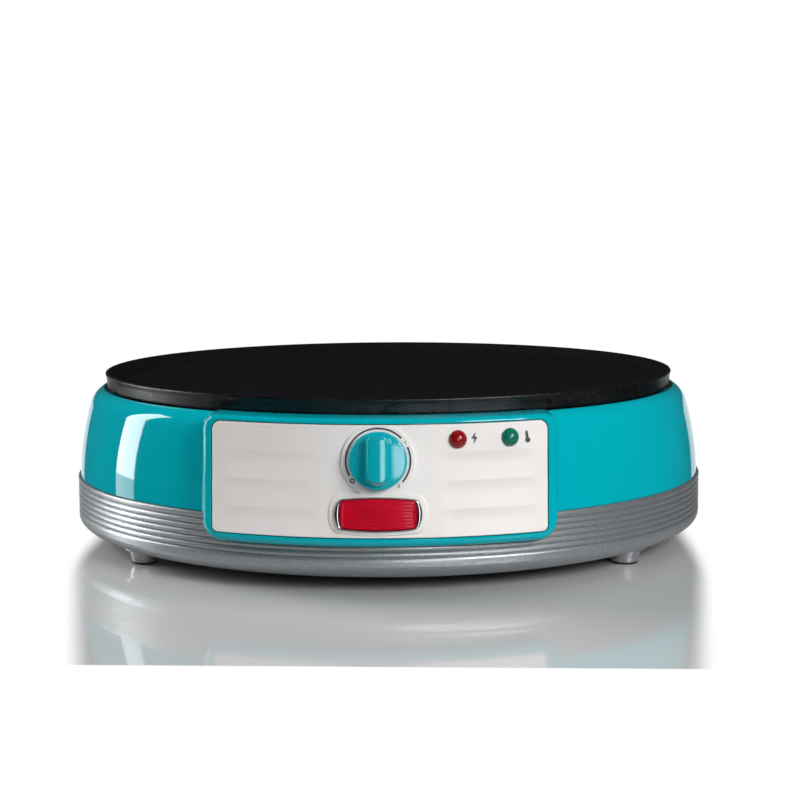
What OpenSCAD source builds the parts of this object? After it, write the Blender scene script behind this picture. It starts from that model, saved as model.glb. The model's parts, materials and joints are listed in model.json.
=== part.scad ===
// Electric crepe maker: round cast hot plate on a two-part round housing, with a
// control box at the front (-Y) and a mains cord gland at the back (+Y).
// Millimetres. Origin on the floor under the centre of the hot plate, +Z up.

/* [Hot plate] */
// Diameter of the hot plate over its rim
plate_d = 300; // [280:1:330]
// Depth of the recess inside the rim
recess_h = 4.4; // [4.3:0.1:5.5]
// Thickness of the plate under the recess
plate_t = 4; // [3:0.1:5]
// Height of the rim above the housing's shoulder
plate_rise = 7.2; // [6:0.1:9]
// Width of the flat land on top of the rim
rim_land = 2.3; // [1.5:0.1:4]
// Width of the sloping inner wall of the rim
rim_slope = 5.5; // [3:0.5:8]
// Draft of the plate's outer side, bottom to top
side_draft = 1; // [0.5:0.1:1.5]
// Height of the bevel under the plate's edge
edge_bevel = 0.7; // [0.4:0.1:1.2]
// Radius of the circle of the plate's fixing bosses
plate_boss_r = 112; // [106:1:118]
// Diameter of a fixing boss under the plate
plate_boss_d = 12; // [10:0.5:14]
// Length of a fixing boss under the plate
plate_boss_h = 14.8; // [13:0.2:18]

/* [Heating element] */
// Radius of the element's ring
element_r = 92; // [84:1:98]
// Diameter of the element's sheath
element_d = 7; // [6:0.1:8]
// Wall of the channel that holds the sheath
channel_wall = 2.6; // [2:0.1:3.5]
// Half of the angle that the ring leaves open at the back
element_gap_a = 15; // [13:1:20]
// Bend radius where the sheath turns down to a terminal
element_bend_r = 9; // [8:0.5:11]
// Length of the straight sheath below the bend
element_leg = 13; // [11:0.5:15]
// Diameter of the terminal pins
pin_d = 2.6; // [2:0.1:3]
// Length of the terminal pins
pin_h = 7; // [5:0.5:9]

/* [Upper housing] */
// Height of the upper housing, joint to shoulder
housing_h = 46; // [44:0.5:50]
// Wall of the housing
wall = 2.5; // [2:0.1:3]
// Widest radius of the housing beyond the plate
belly_out = 14; // [12:0.5:18]
// Radius of the long curve of the side
side_arc_r = 150; // [130:5:200]
// Depth of the widest level under the joint
belly_drop = 4.8; // [2:0.2:8]
// Radius of the shoulder's rounding
shoulder_r = 11; // [9:0.5:12]
// Air gap around the plate
plate_gap = 1; // [0.8:0.1:1.5]
// Air gap under the plate, above the shelf
shelf_gap = 2.4; // [1.5:0.1:3]
// Thickness of the shelf under the plate's edge
shelf_t = 2.5; // [2:0.1:3]
// Width of the shelf, from the plate's edge inwards
shelf_w = 16; // [15:0.5:18]
// Length of the bosses that carry the heat shield
shield_boss_h = 4; // [3:0.2:5]

/* [Base] */
// Ground clearance under the base
clearance_h = 4.3; // [3.8:0.1:5]
// Height of the base, bottom to joint
base_h = 30.5; // [29:0.5:34]
// Wall of the base
base_wall = 2.5; // [2:0.1:3]
// Step from the housing out to the band of the base
band_step = 1.2; // [0.6:0.1:1.8]
// Width of the curve between the flat bottom and the band
bowl_w = 40; // [34:1:46]
// Height of the curve between the flat bottom and the band
bowl_h = 11; // [10:0.5:12.5]
// Fullness of that curve: 2 is an ellipse, more is squarer
bowl_full = 2.6; // [2:0.1:3]
// Number of grooves around the band
groove_count = 6; // [4:1:6]
// Distance between grooves
groove_pitch = 2.84; // [2.4:0.02:2.9]
// Depth of the top groove below the joint
groove_top = 3.2; // [2.8:0.1:3.6]
// Radius of the beads between the grooves
bead_r = 1.6; // [1.5:0.05:2]
// Rounding of the band's upper edge at the joint
band_edge_r = 1; // [0.6:0.1:1.1]
// Height of the lip that enters the housing
lip_h = 3.5; // [2:0.5:5]
// Number of vent slots in the bottom
vent_count = 24; // [12:4:32]
// Width of a vent slot
vent_w = 3.2; // [2:0.2:4]
// Length of a vent slot
vent_len = 36; // [20:2:40]

/* [Joining posts and screws] */
// Radius of the circle of the joining posts
post_r = 148; // [146.5:0.5:149]
// Angle of the joining posts from the front and the back
post_a = 38; // [37:0.5:42]
// Diameter of the housing's posts
post_d = 9; // [8:0.5:10]
// Height of the posts' meeting face above the joint
post_meet = 3.2; // [1:0.2:6]
// Shank diameter of the joining screws
screw_d = 3.9; // [3.4:0.1:4.2]
// Head diameter of the joining screws
screw_head_d = 7.4; // [7:0.1:8]
// Shank diameter of the small screws
small_screw_d = 2.9; // [2.5:0.1:3.1]
// Head diameter of the small screws
small_head_d = 5.4; // [5:0.1:5.8]
// Radial clearance of every screw in its hole
screw_fit = 0.1; // [0.05:0.05:0.2]

/* [Feet] */
// Radius of the circle of the feet
foot_circle_r = 149; // [146:0.5:151]
// Angle of the feet from the front and the back
foot_a = 52.4; // [50:0.2:58]
// Top diameter of a foot
foot_top_d = 15; // [14:0.5:16]
// Bottom diameter of a foot
foot_bottom_d = 12; // [11:0.5:13.5]
// Height of a foot's seat above the floor
foot_seat_z = 8.2; // [7.6:0.1:8.8]
// Thickness of a foot's rubber pad
pad_t = 1.1; // [0.8:0.1:1.6]

/* [Control box] */
// Width of the front panel
panel_w = 153; // [146:1:156]
// Distance from the panel's lower edge to the joint
panel_below = 6.8; // [5.5:0.1:8]
// Distance from the panel's upper edge to the shoulder
panel_above = 2.5; // [2:0.1:4]
// Thickness of the front panel
panel_t = 2; // [1.6:0.1:2.4]
// Gap around and behind the front panel
panel_gap = 0.3; // [0.2:0.05:0.5]
// Width of the frame beside the panel
frame_side = 3.4; // [2.6:0.1:3.8]
// Height of the frame below the panel
frame_low = 3.3; // [2.6:0.1:4]
// Radius of the panel's upper corners
panel_corner_up = 4.2; // [3:0.1:5]
// Radius of the panel's lower corners
panel_corner_low = 2.4; // [2:0.1:3]
// Radius of the frame's upper corners
frame_corner_up = 6.5; // [5.5:0.1:7.5]
// Radius of the frame's lower corners
frame_corner_low = 8; // [6.5:0.1:9]
// How far the panel stands out from the housing's widest radius
box_out = 6; // [5:0.2:8]
// Lean of the panel towards the back
lean = 7; // [5:0.5:9]

/* [Front panel relief] */
// Number of shallow hollows on each side of the panel
hollow_count = 3; // [1:1:3]
// Height of one hollow
hollow_pitch = 12.6; // [12:0.1:12.8]
// Height of a hollow's steep upper slope
hollow_fall = 4; // [3:0.1:5]
// Depth of a hollow
hollow_depth = 0.6; // [0.4:0.05:0.9]
// Angle where the hollows start beside the dial
hollow_a0 = 8.6; // [8:0.1:10]
// Angle where the hollows end near the panel's edge
hollow_a1 = 24.6; // [22:0.1:25]
// Drop of the first hollow's upper edge below the panel's upper edge
hollow_drop = 12.6; // [11.8:0.1:12.8]

/* [Dial and knob] */
// Drop of the knob's centre below the panel's upper edge
knob_drop = 15.8; // [15.4:0.1:16.4]
// Diameter of the knob
knob_d = 25.5; // [24:0.1:26.5]
// Thickness of the knob's disc
knob_disc_h = 5; // [4:0.1:6]
// Height of the knob's grip over the disc
grip_h = 6; // [4:0.1:7]
// Width of the knob's grip
grip_w = 8.6; // [8.2:0.1:10]
// Length of the knob's grip
grip_len = 23; // [20:0.5:24]
// Air gap behind the knob
knob_gap = 0.5; // [0.3:0.1:0.8]
// Diameter of the raised dial
dial_d = 32.8; // [32.2:0.1:33.4]
// Height of the raised dial over the panel
dial_h = 0.9; // [0.6:0.1:1.2]
// Radius of the printed arc
arc_r = 14.4; // [14:0.1:14.8]
// Width of the printed lines
line_w = 0.55; // [0.4:0.05:0.8]
// Thickness of the printed lines
ink_t = 0.1; // [0.05:0.05:0.2]
// Diameter of the thermostat's shaft
shaft_d = 6; // [5:0.1:6.4]
// Radial running clearance of the shaft
shaft_fit = 0.05; // [0.03:0.01:0.08]

/* [Badge] */
// Height of the badge's centre above the panel's lower edge
badge_up = 11; // [10.4:0.1:11.4]
// Width of the badge's bezel
badge_w = 39.3; // [37:0.1:41]
// Height of the badge's bezel
badge_h = 15.2; // [14:0.1:16]
// Width of the chrome at the badge's ends
bezel_end = 2.3; // [1.8:0.1:2.6]
// Width of the chrome above and below the badge's plate
bezel_edge = 0.5; // [0.4:0.05:1]
// Width of the raised surround around the bezel
surround = 2.1; // [1.6:0.1:2.4]
// Height of the raised surround
surround_h = 1; // [0.6:0.1:1.4]
// Thickness of the bezel
bezel_t = 1.8; // [1.4:0.1:2.2]
// Thickness of the badge's plate
badge_t = 1.3; // [1:0.1:1.3]

// Distance between the fine grooves of the badge's plate
rib_pitch = 1.5; // [1.3:0.1:1.6]

/* [Indicator lamps] */
// Angle of the power lamp from the front
power_a = 12.2; // [11.6:0.1:12.8]
// Angle of the ready lamp from the front
ready_a = 20.6; // [20:0.1:21]
// Drop of the lamps below the panel's upper edge
lamp_drop = 6.9; // [6.6:0.1:7.6]
// Diameter of a lens
lens_d = 8.2; // [7.4:0.1:8.4]
// Height of a lens's dome
lens_h = 3; // [2.4:0.1:3.4]
// Diameter of the stem behind a lens
stem_d = 6.4; // [5.6:0.1:6.6]
// Length of a neon lamp
neon_len = 13; // [11:0.5:15]

/* [Thermostat] */
// Width of the thermostat's body
thermo_w = 30; // [28:0.5:31]
// Height of the thermostat's body
thermo_h = 21; // [19:0.5:22]
// Depth of the thermostat's body
thermo_depth = 15; // [13:0.5:15.5]
// Distance between the bracket's screws
bracket_pitch = 37; // [36.4:0.2:38]
// Thickness of the bracket
bracket_t = 1.2; // [1:0.1:1.5]
// Depth of the bracket's seat behind the panel's face
bracket_seat = 8; // [7.8:0.1:8.6]
// Thread diameter of the thermostat's neck
neck_d = 10; // [9:0.5:10.5]
// Diameter of the sensing bulb
bulb_d = 6; // [5:0.1:6.5]
// Length of the sensing bulb
bulb_len = 60; // [50:1:70]

/* [Wiring and cord gland] */
// Bore of the cord gland
gland_bore_d = 7.2; // [6.4:0.1:8]
// Outer diameter of the gland's threaded barrel
gland_thread_d = 14.5; // [13.5:0.1:15]
// Diameter of the gland's flange
gland_flange_d = 20; // [18:0.2:21]
// Length of the gland outside its flange
gland_out = 12; // [10:0.2:13]
// Height of the gland's axis above the floor
gland_z = 21.4; // [20.4:0.2:22]
// Diameter of the internal wires
wire_d = 2.6; // [2:0.1:3]
// Width of the terminal block
block_w = 36; // [34:0.5:40]
// Depth of the terminal block
block_depth = 18; // [16:0.5:20]
// Height of the terminal block
block_h = 12; // [10:0.5:14]

/* [Hidden] */
$fn = 96;
eps = 0.01;

// Levels, from the floor up
joint_z = clearance_h + base_h;
shoulder_z = joint_z + housing_h;
total_h = shoulder_z + plate_rise;
plate_under = total_h - recess_h - plate_t;
shelf_z = plate_under - shelf_gap;
shelf_under = shelf_z - shelf_t;
floor_z = clearance_h + base_wall;
post_z = joint_z + post_meet;

// Radii
plate_r = plate_d / 2;
well_r = plate_r + plate_gap;
shelf_in_r = plate_r - shelf_w;
belly_r = plate_r + belly_out;
belly_z = joint_z - belly_drop;
band_r = belly_r + band_step;
side_arc_x = belly_r - side_arc_r;
corner_z = shoulder_z - shoulder_r;
corner_x = side_arc_x + sqrt(pow(side_arc_r - shoulder_r, 2) - pow(corner_z - belly_z, 2));
tangent_z = belly_z + (corner_z - belly_z) * side_arc_r / (side_arc_r - shoulder_r);
rim_floor_r = plate_r - rim_land - rim_slope;

// Heat shield
shield_t = 0.8;
shield_boss_d = 7;
shield_boss_a = 62;
shield_boss_r = shelf_in_r + shield_boss_d / 2 + 2;
shield_flange_r = shield_boss_r + shield_boss_d / 2 + 0.2;
shield_wall_r = shelf_in_r - 3;
shield_flange_z = shelf_under - shield_boss_h;
shield_floor_z = plate_under - plate_boss_h;

// Base curve
bowl_x = band_r - bowl_w;
bowl_z = clearance_h + bowl_h;
base_in_r = band_r - base_wall;
bowl_steps = 14;
bead_steps = 6;
lip_t = 2;
lip_gap = 0.3;
lip_root = 4;
post_base_d = post_d + 2;
post_bore_z = 12.5;
vent_in_r = 48;
foot_boss_d = foot_top_d + 5;
foot_boss_top = foot_seat_z + 3.3;
foot_fit = 0.3;
pad_plug_d = 5;
pad_plug_h = 1.6;
plug_fit = 0.05;

// Control box
panel_z0 = joint_z - panel_below;
panel_z1 = shoulder_z - panel_above;
box_mid_z = (panel_z0 + panel_z1) / 2;
face_mid_r = belly_r + box_out;
box_half = panel_w / 2 + panel_gap + frame_side;
box_z0 = panel_z0 - frame_low;
box_z1 = shoulder_z;
box_in_r = base_in_r - 4.5;
notch_gap = 0.3;
back_wall = panel_t + panel_gap + wall;
panel_screw_x = 62;
panel_screw_low = 6;
panel_screw_drop = 21;
panel_boss_d = 5.5;
knob_z = panel_z1 - knob_drop;
badge_z = panel_z0 + badge_up;
lamp_z = panel_z1 - lamp_drop;

function face_r(z) = face_mid_r + (box_mid_z - z) * tan(lean);

// The place of p = [across, up the face, out of it] on the face at angle a and level z
function face_point(a, z, p) =
    let (r = face_r(z) - p[1] * sin(lean) + p[2] * cos(lean))
        [p[0] * cos(a) + r * sin(a), p[0] * sin(a) - r * cos(a), z + p[1] * cos(lean) + p[2] * sin(lean)];

// Grooves of the badge's plate, counted from its middle
rib_steps = 4;
rib_w = 0.3;
rib_depth = 0.3;

// Thermostat
thermo_front = bracket_seat + bracket_t;
tab_w = 6.3;
tab_t = 0.8;
tab_h = 6;
tab_x = 8;
nut_h = 2.4;
hex_nut_d = 16;
neck_end = bracket_seat - nut_h - 0.4;

// Wiring
block_y = 96;
block_pad_h = 3;
block_z = floor_z + block_pad_h;
pole_x = 12;
wire_z = block_z + 5;
block_front = block_y - 0.3;
gland_seat_y = band_r + 1.3;
gland_wall_y = band_r - 5;
gland_nut_h = 4;
gland_flange_t = 2;
earth_y = 56;
earth_tag_t = 1;
earth_z = shield_floor_z - shield_t - earth_tag_t;
thermo_back = thermo_front + thermo_depth;
tab_end = thermo_back + tab_h;
lamp_back = 7.05 + neon_len;
lamp_wire_d = 1.6;
wire_gap = 0.3;

// A point behind the thermostat: x across and y up from its centre, w behind its back
function behind_thermo(x, y, w) = face_point(0, knob_z, [x, y, -thermo_back - w]);

// Element terminals
lie_gap = 0.05;
channel_mid = (element_d + channel_wall) / 2 + lie_gap;
channel_h = 4.5;
element_z = plate_under - element_d / 2 - lie_gap;
leg_x = element_r * sin(element_gap_a) - element_bend_r * cos(element_gap_a);
leg_y = element_r * cos(element_gap_a) + element_bend_r * sin(element_gap_a);
leg_end_z = element_z - element_bend_r - element_leg;
pin_end_z = leg_end_z - pin_h;

// Sensing bulb, under the plate beside its middle
bulb_x = 30;
bulb_y = -20;
bulb_z = plate_under - bulb_d / 2 - lie_gap;
capillary_d = 2;
capillary_hole_x = 29;
capillary_hole_y = -79;
capillary_hole_d = 16;

fuse_d = 4;
fuse_len = 14;
fuse_x = -35;
fuse_y = 10;
fuse_z = plate_under - fuse_d / 2 - lie_gap;
strap_t = 0.8;

// ---------- shared shapes ----------

module spin(a) {
    rotate([0, 0, a]) children();
}

// Copies at plus and minus a from the front and from the back
module four_around(a, r) {
    for (turn = [-a, a, 180 - a, 180 + a])
        spin(turn) translate([0, -r, 0]) children();
}

// Puts its children on the panel's face: x across, y up the face, z out of it
module on_face(a, z) {
    spin(a) translate([0, -face_r(z), z]) rotate([90 - lean, 0, 0]) children();
}

// Everything inside the panel's face moved out by off
module face_cone(off) {
    low = box_z0 - 5;
    high = box_z1 + 5;
    translate([0, 0, low])
        cylinder(h = high - low, r1 = face_r(low) + off, r2 = face_r(high) + off, $fn = 360);
}

// An outline in the front view, carried from the axis out to the front
module front_prism() {
    rotate([90, 0, 0]) linear_extrude(height = face_mid_r + 30) children();
}

module round_rect(half, z0, z1, r_up, r_low) {
    polygon([
        [-half, z0 + r_low], [-half, z1 - r_up], [-half + r_up, z1], [half - r_up, z1],
        [half, z1 - r_up], [half, z0 + r_low], [half - r_low, z0], [-half + r_low, z0]
    ]);
    for (side = [-1, 1]) {
        translate([side * (half - r_up), z1 - r_up]) circle(r_up);
        translate([side * (half - r_low), z0 + r_low]) circle(r_low);
    }
}

// A rectangle whose four sides bulge out
module barrel(w, h, bulge_x, bulge_y) {
    side_r = (h * h / 4 + bulge_x * bulge_x) / (2 * bulge_x);
    cap_r = (w * w / 4 + bulge_y * bulge_y) / (2 * bulge_y);
    intersection() {
        union() {
            translate([bulge_x - w / 2, -h / 2]) square([w - 2 * bulge_x, h]);
            translate([w / 2 - side_r, 0]) circle(side_r, $fn = 360);
            translate([side_r - w / 2, 0]) circle(side_r, $fn = 360);
        }
        translate([0, h / 2 - cap_r]) circle(cap_r, $fn = 1440);
        translate([0, cap_r - h / 2]) circle(cap_r, $fn = 1440);
    }
}

// A screw that hangs down from the seat of its head at z = 0
module screw(d, head_d, len) {
    head_h = head_d * 0.35;
    difference() {
        union() {
            cylinder(h = head_h, d1 = head_d, d2 = head_d * 0.8);
            translate([0, 0, -len]) cylinder(h = len + eps, d = d);
        }
        for (turn = [0, 90])
            rotate([0, 0, turn])
                translate([-head_d * 0.3, -head_d * 0.06, head_h * 0.4])
                    cube([head_d * 0.6, head_d * 0.12, head_h]);
    }
}

function norm_dir(v) = v / norm(v);

// Direction of travel at point i of a path
function path_dir(p, i) =
    norm_dir(p[min(i + 1, len(p) - 1)] - p[max(i - 1, 0)]);

// A point of a smooth curve through the points p
function curve_at(p, i, t) =
    let (
        a = p[max(i - 1, 0)], b = p[i], c = p[i + 1], d = p[min(i + 2, len(p) - 1)]
    )
    0.5 * (2 * b + (c - a) * t + (2 * a - 5 * b + 4 * c - d) * t * t
        + (3 * b - a - 3 * c + d) * t * t * t);

function smooth_path(p, steps) = concat(
    [for (i = [0 : len(p) - 2]) for (k = [0 : steps - 1]) curve_at(p, i, k / steps)],
    [p[len(p) - 1]]
);

// A round wire along the points p
module wire(p, d, sides = 8, steps = 2) {
    q = smooth_path(p, steps);
    up = [0.31, 0.17, 0.93];
    rings = [
        for (i = [0 : len(q) - 1])
            let (
                t = path_dir(q, i),
                u = norm_dir(cross(t, abs(t * up) > 0.95 ? [1, 0, 0] : up)),
                v = cross(t, u)
            )
            for (k = [0 : sides - 1])
                q[i] + d / 2 * (cos(360 * k / sides) * u + sin(360 * k / sides) * v)
    ];
    last = (len(q) - 1) * sides;
    faces = concat(
        [[for (k = [0 : sides - 1]) k]],
        [
            for (i = [0 : len(q) - 2]) for (k = [0 : sides - 1])
                [i * sides + k, (i + 1) * sides + k, (i + 1) * sides + (k + 1) % sides]
        ],
        [
            for (i = [0 : len(q) - 2]) for (k = [0 : sides - 1])
                [i * sides + k, (i + 1) * sides + (k + 1) % sides, i * sides + (k + 1) % sides]
        ],
        [[for (k = [sides - 1 : -1 : 0]) last + k]]
    );
    polyhedron(points = rings, faces = faces, convexity = 4);
}

// ---------- base ----------

// The curve between the flat bottom and the band, moved in by inset
function bowl_curve(inset) = [
    for (i = [0 : bowl_steps])
        let (t = 90 - 90 * i / bowl_steps)
            [
                bowl_x + (bowl_w - inset) * pow(cos(t), 2 / bowl_full),
                bowl_z - (bowl_h - inset) * pow(sin(t), 2 / bowl_full)
            ]
];

// A stretch of the bead centred at level z, from angle a0 up to a1
function bead_arc(z, a0, a1) = [
    for (i = [1 : bead_steps])
        let (a = a0 + (a1 - a0) * i / bead_steps)
            [band_r - bead_r * (1 - cos(a)), z + bead_r * sin(a)]
];

module base_outline() {
    groove_z = joint_z - groove_top;
    half_a = asin(groove_pitch / 2 / bead_r);
    polygon(concat(
        [[0, joint_z], [0, clearance_h]],
        bowl_curve(0),
        [[band_r, groove_z - (groove_count - 0.5) * groove_pitch]],
        bead_arc(groove_z - (groove_count - 0.5) * groove_pitch, 0, half_a),
        [
            for (i = [groove_count - 2 : -1 : 0])
                each bead_arc(groove_z - (i + 0.5) * groove_pitch, -half_a, half_a)
        ],
        bead_arc(groove_z + groove_pitch / 2, -half_a, 0),
        [
            for (a = [0 : 15 : 90])
                [band_r - band_edge_r * (1 - cos(a)), joint_z - band_edge_r * (1 - sin(a))]
        ]
    ));
}

module base_hollow() {
    polygon(concat(
        [[0, joint_z + 1], [0, floor_z]], bowl_curve(base_wall), [[base_in_r, joint_z + 1]]
    ));
}

module base_lip() {
    housing_in_r = side_arc_x + sqrt(pow(side_arc_r - wall, 2) - pow(lip_h + belly_drop, 2));
    lip_r = housing_in_r - lip_gap;
    rotate_extrude()
        polygon([
            [lip_r - lip_t, joint_z - lip_root], [base_in_r + 0.5, joint_z - lip_root],
            [base_in_r + 0.5, joint_z], [lip_r, joint_z], [lip_r, joint_z + lip_h],
            [lip_r - lip_t, joint_z + lip_h]
        ]);
}

module base_shell() {
    color([0.72, 0.73, 0.74]) difference() {
        union() {
            difference() {
                rotate_extrude() base_outline();
                rotate_extrude() base_hollow();
            }
            base_lip();
            four_around(post_a, post_r)
                translate([0, 0, floor_z]) cylinder(h = post_z - floor_z, d = post_base_d);
            four_around(foot_a, foot_circle_r)
                translate([0, 0, foot_seat_z - 1])
                    cylinder(h = foot_boss_top - foot_seat_z + 1, d = foot_boss_d);
            translate([0, gland_seat_y, gland_z]) rotate([90, 0, 0])
                cylinder(h = gland_seat_y - gland_wall_y, d = gland_flange_d + 3);
            translate([-block_w / 2 - 2, block_y - 1, floor_z - 1])
                cube([block_w + 4, block_depth + 2, block_pad_h + 1]);
        }
        // notch for the control box
        difference() {
            front_prism()
                round_rect(box_half + notch_gap, box_z0 - notch_gap, box_z1 + 20,
                    frame_corner_up, frame_corner_low + notch_gap);
            cylinder(h = total_h, r = box_in_r - notch_gap);
        }
        four_around(post_a, post_r) {
            cylinder(h = total_h, d = screw_d + 2 * screw_fit);
            cylinder(h = post_bore_z, d = screw_head_d + 0.6);
        }
        four_around(foot_a, foot_circle_r) {
            cylinder(h = foot_seat_z, d = foot_top_d + 2 * foot_fit);
            cylinder(h = total_h, d = small_screw_d + 2 * screw_fit);
        }
        for (i = [0 : vent_count - 1])
            spin(360 * i / vent_count)
                translate([-vent_w / 2, vent_in_r, 0]) cube([vent_w, vent_len, floor_z + 1]);
        translate([0, gland_seat_y + 1, gland_z]) rotate([90, 0, 0])
            cylinder(h = 20, d = gland_thread_d + 0.4);
        for (side = [-1, 1])
            translate([side * pole_x / 2, block_y + block_depth / 2, floor_z - 1])
                cylinder(h = 20, d = small_screw_d + 2 * screw_fit);
    }
}

module foot() {
    color([0.75, 0.76, 0.77]) difference() {
        translate([0, 0, pad_t]) cylinder(h = foot_seat_z - pad_t, d1 = foot_bottom_d, d2 = foot_top_d);
        translate([0, 0, -eps]) cylinder(h = pad_t + pad_plug_h + 0.1, d = pad_plug_d + 2 * plug_fit);
        translate([0, 0, foot_seat_z - 4.2]) cylinder(h = 5, d = small_screw_d + 2 * screw_fit);
    }
}

module pad() {
    color([0.08, 0.08, 0.08]) {
        cylinder(h = pad_t, d = foot_bottom_d - 0.4);
        cylinder(h = pad_t + pad_plug_h, d = pad_plug_d);
    }
}

module foot_place(turn) {
    spin(turn) translate([0, -foot_circle_r, 0]) children();
}

module foot_front_left() { foot_place(-foot_a) foot(); }
module foot_front_right() { foot_place(foot_a) foot(); }
module foot_rear_left() { foot_place(180 + foot_a) foot(); }
module foot_rear_right() { foot_place(180 - foot_a) foot(); }
module pad_front_left() { foot_place(-foot_a) pad(); }
module pad_front_right() { foot_place(foot_a) pad(); }
module pad_rear_left() { foot_place(180 + foot_a) pad(); }
module pad_rear_right() { foot_place(180 - foot_a) pad(); }

module foot_screws() {
    color("gainsboro") four_around(foot_a, foot_circle_r)
        translate([0, 0, foot_boss_top])
            screw(small_screw_d, small_head_d, foot_boss_top - foot_seat_z + 4);
}

module housing_screws() {
    color("gainsboro") four_around(post_a, post_r)
        translate([0, 0, post_bore_z]) mirror([0, 0, 1])
            screw(screw_d, screw_head_d, post_z + 12 - post_bore_z);
}

// ---------- upper housing ----------

module side_profile(inset, z0, z1) {
    intersection() {
        translate([side_arc_x, belly_z]) circle(side_arc_r - inset);
        translate([0, z0]) square([belly_r + 10, z1 - z0]);
    }
}

module housing_outline() {
    side_profile(0, joint_z, tangent_z);
    translate([corner_x, corner_z]) circle(shoulder_r);
    translate([0, joint_z]) square([corner_x, housing_h]);
}

module box_block() {
    difference() {
        intersection() {
            front_prism() round_rect(box_half, box_z0, box_z1, frame_corner_up, frame_corner_low);
            face_cone(0);
        }
        cylinder(h = joint_z * 2, r = box_in_r, center = true);
    }
}

module box_cavity() {
    intersection() {
        front_prism()
            round_rect(box_half - wall, box_z0 + wall, shelf_under,
                frame_corner_up - wall, frame_corner_low - wall);
        face_cone(-back_wall);
        translate([-box_half, -200, 0]) cube([2 * box_half, 100, total_h]);
    }
}

module panel_recess() {
    difference() {
        front_prism()
            round_rect(panel_w / 2 + panel_gap, panel_z0 - panel_gap, panel_z1 + panel_gap,
                panel_corner_up + panel_gap, panel_corner_low + panel_gap);
        face_cone(-panel_t - panel_gap);
    }
}

// The four places where the panel is screwed on from behind
module at_panel_screws() {
    for (side = [-1, 1]) for (z = [panel_z0 + panel_screw_low, panel_z1 - panel_screw_drop])
        on_face(side * asin(panel_screw_x / face_r(z)), z) children();
}

module housing_posts() {
    four_around(post_a, post_r)
        translate([0, 0, post_z]) cylinder(h = shelf_under - post_z + 1, d = post_d);
    intersection() {
        four_around(post_a, post_r)
            translate([-1, -20, post_z + 6]) cube([2, 20, shelf_under - post_z - 5]);
        rotate_extrude() side_profile(wall / 2, joint_z, shelf_under + 1);
    }
    four_around(shield_boss_a, shield_boss_r)
        translate([0, 0, shelf_under - shield_boss_h]) cylinder(h = shield_boss_h + 1, d = shield_boss_d);
}

module upper_housing() {
    color([0.0, 0.66, 0.7]) difference() {
        union() {
            difference() {
                union() {
                    rotate_extrude() housing_outline();
                    box_block();
                }
                rotate_extrude() side_profile(wall, box_z0 - 5, shelf_under);
                translate([0, 0, shelf_z]) cylinder(h = total_h, r = well_r);
                cylinder(h = total_h, r = shelf_in_r);
                box_cavity();
                panel_recess();
            }
            housing_posts();
            // bosses for the thermostat's bracket and sleeves for the lamps
            intersection() {
                union() {
                    for (side = [-1, 1])
                        on_face(0, knob_z) translate([side * bracket_pitch / 2, 0, -bracket_seat])
                            cylinder(h = bracket_seat - panel_t - panel_gap - 1, d = 7.5);
                    for (a = [power_a, ready_a])
                        on_face(a, lamp_z) translate([0, 0, -13])
                            cylinder(h = 10, d = stem_d + 4.6);
                }
                face_cone(-panel_t - panel_gap - 1);
                cylinder(h = shelf_under + 1, r = face_mid_r + 20);
            }
        }
        on_face(0, knob_z) translate([0, 0, -12]) cylinder(h = 20, d = neck_d + 6);
        for (side = [-1, 1])
            on_face(0, knob_z) translate([side * bracket_pitch / 2, 0, -bracket_seat - 1])
                cylinder(h = 5.2, d = small_screw_d + 2 * screw_fit);
        for (a = [power_a, ready_a])
            on_face(a, lamp_z) translate([0, 0, -20]) cylinder(h = 30, d = stem_d + 0.4);
        at_panel_screws() translate([0, 0, -12]) cylinder(h = 20, d = panel_boss_d + 0.4);
        four_around(post_a, post_r)
            translate([0, 0, post_z - 1]) cylinder(h = 15, d = screw_d + 2 * screw_fit);
        four_around(shield_boss_a, shield_boss_r)
            translate([0, 0, shelf_under - shield_boss_h - 1])
                cylinder(h = 6, d = small_screw_d + 2 * screw_fit);
    }
}

// ---------- front panel ----------

// One shallow hollow: a steep slope at its top, a long one back out to the face
module hollow(side, z_top) {
    z_deep = z_top - hollow_fall;
    z_low = z_top - hollow_pitch;
    a0 = side > 0 ? hollow_a0 : -hollow_a1;
    rotate([0, 0, a0 - 90]) rotate_extrude(angle = hollow_a1 - hollow_a0)
        polygon([
            [face_r(z_top), z_top], [face_r(z_deep) - hollow_depth, z_deep],
            [face_r(z_low), z_low], [face_r(z_low) + 2, z_low], [face_r(z_low) + 2, z_top]
        ]);
}

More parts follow.
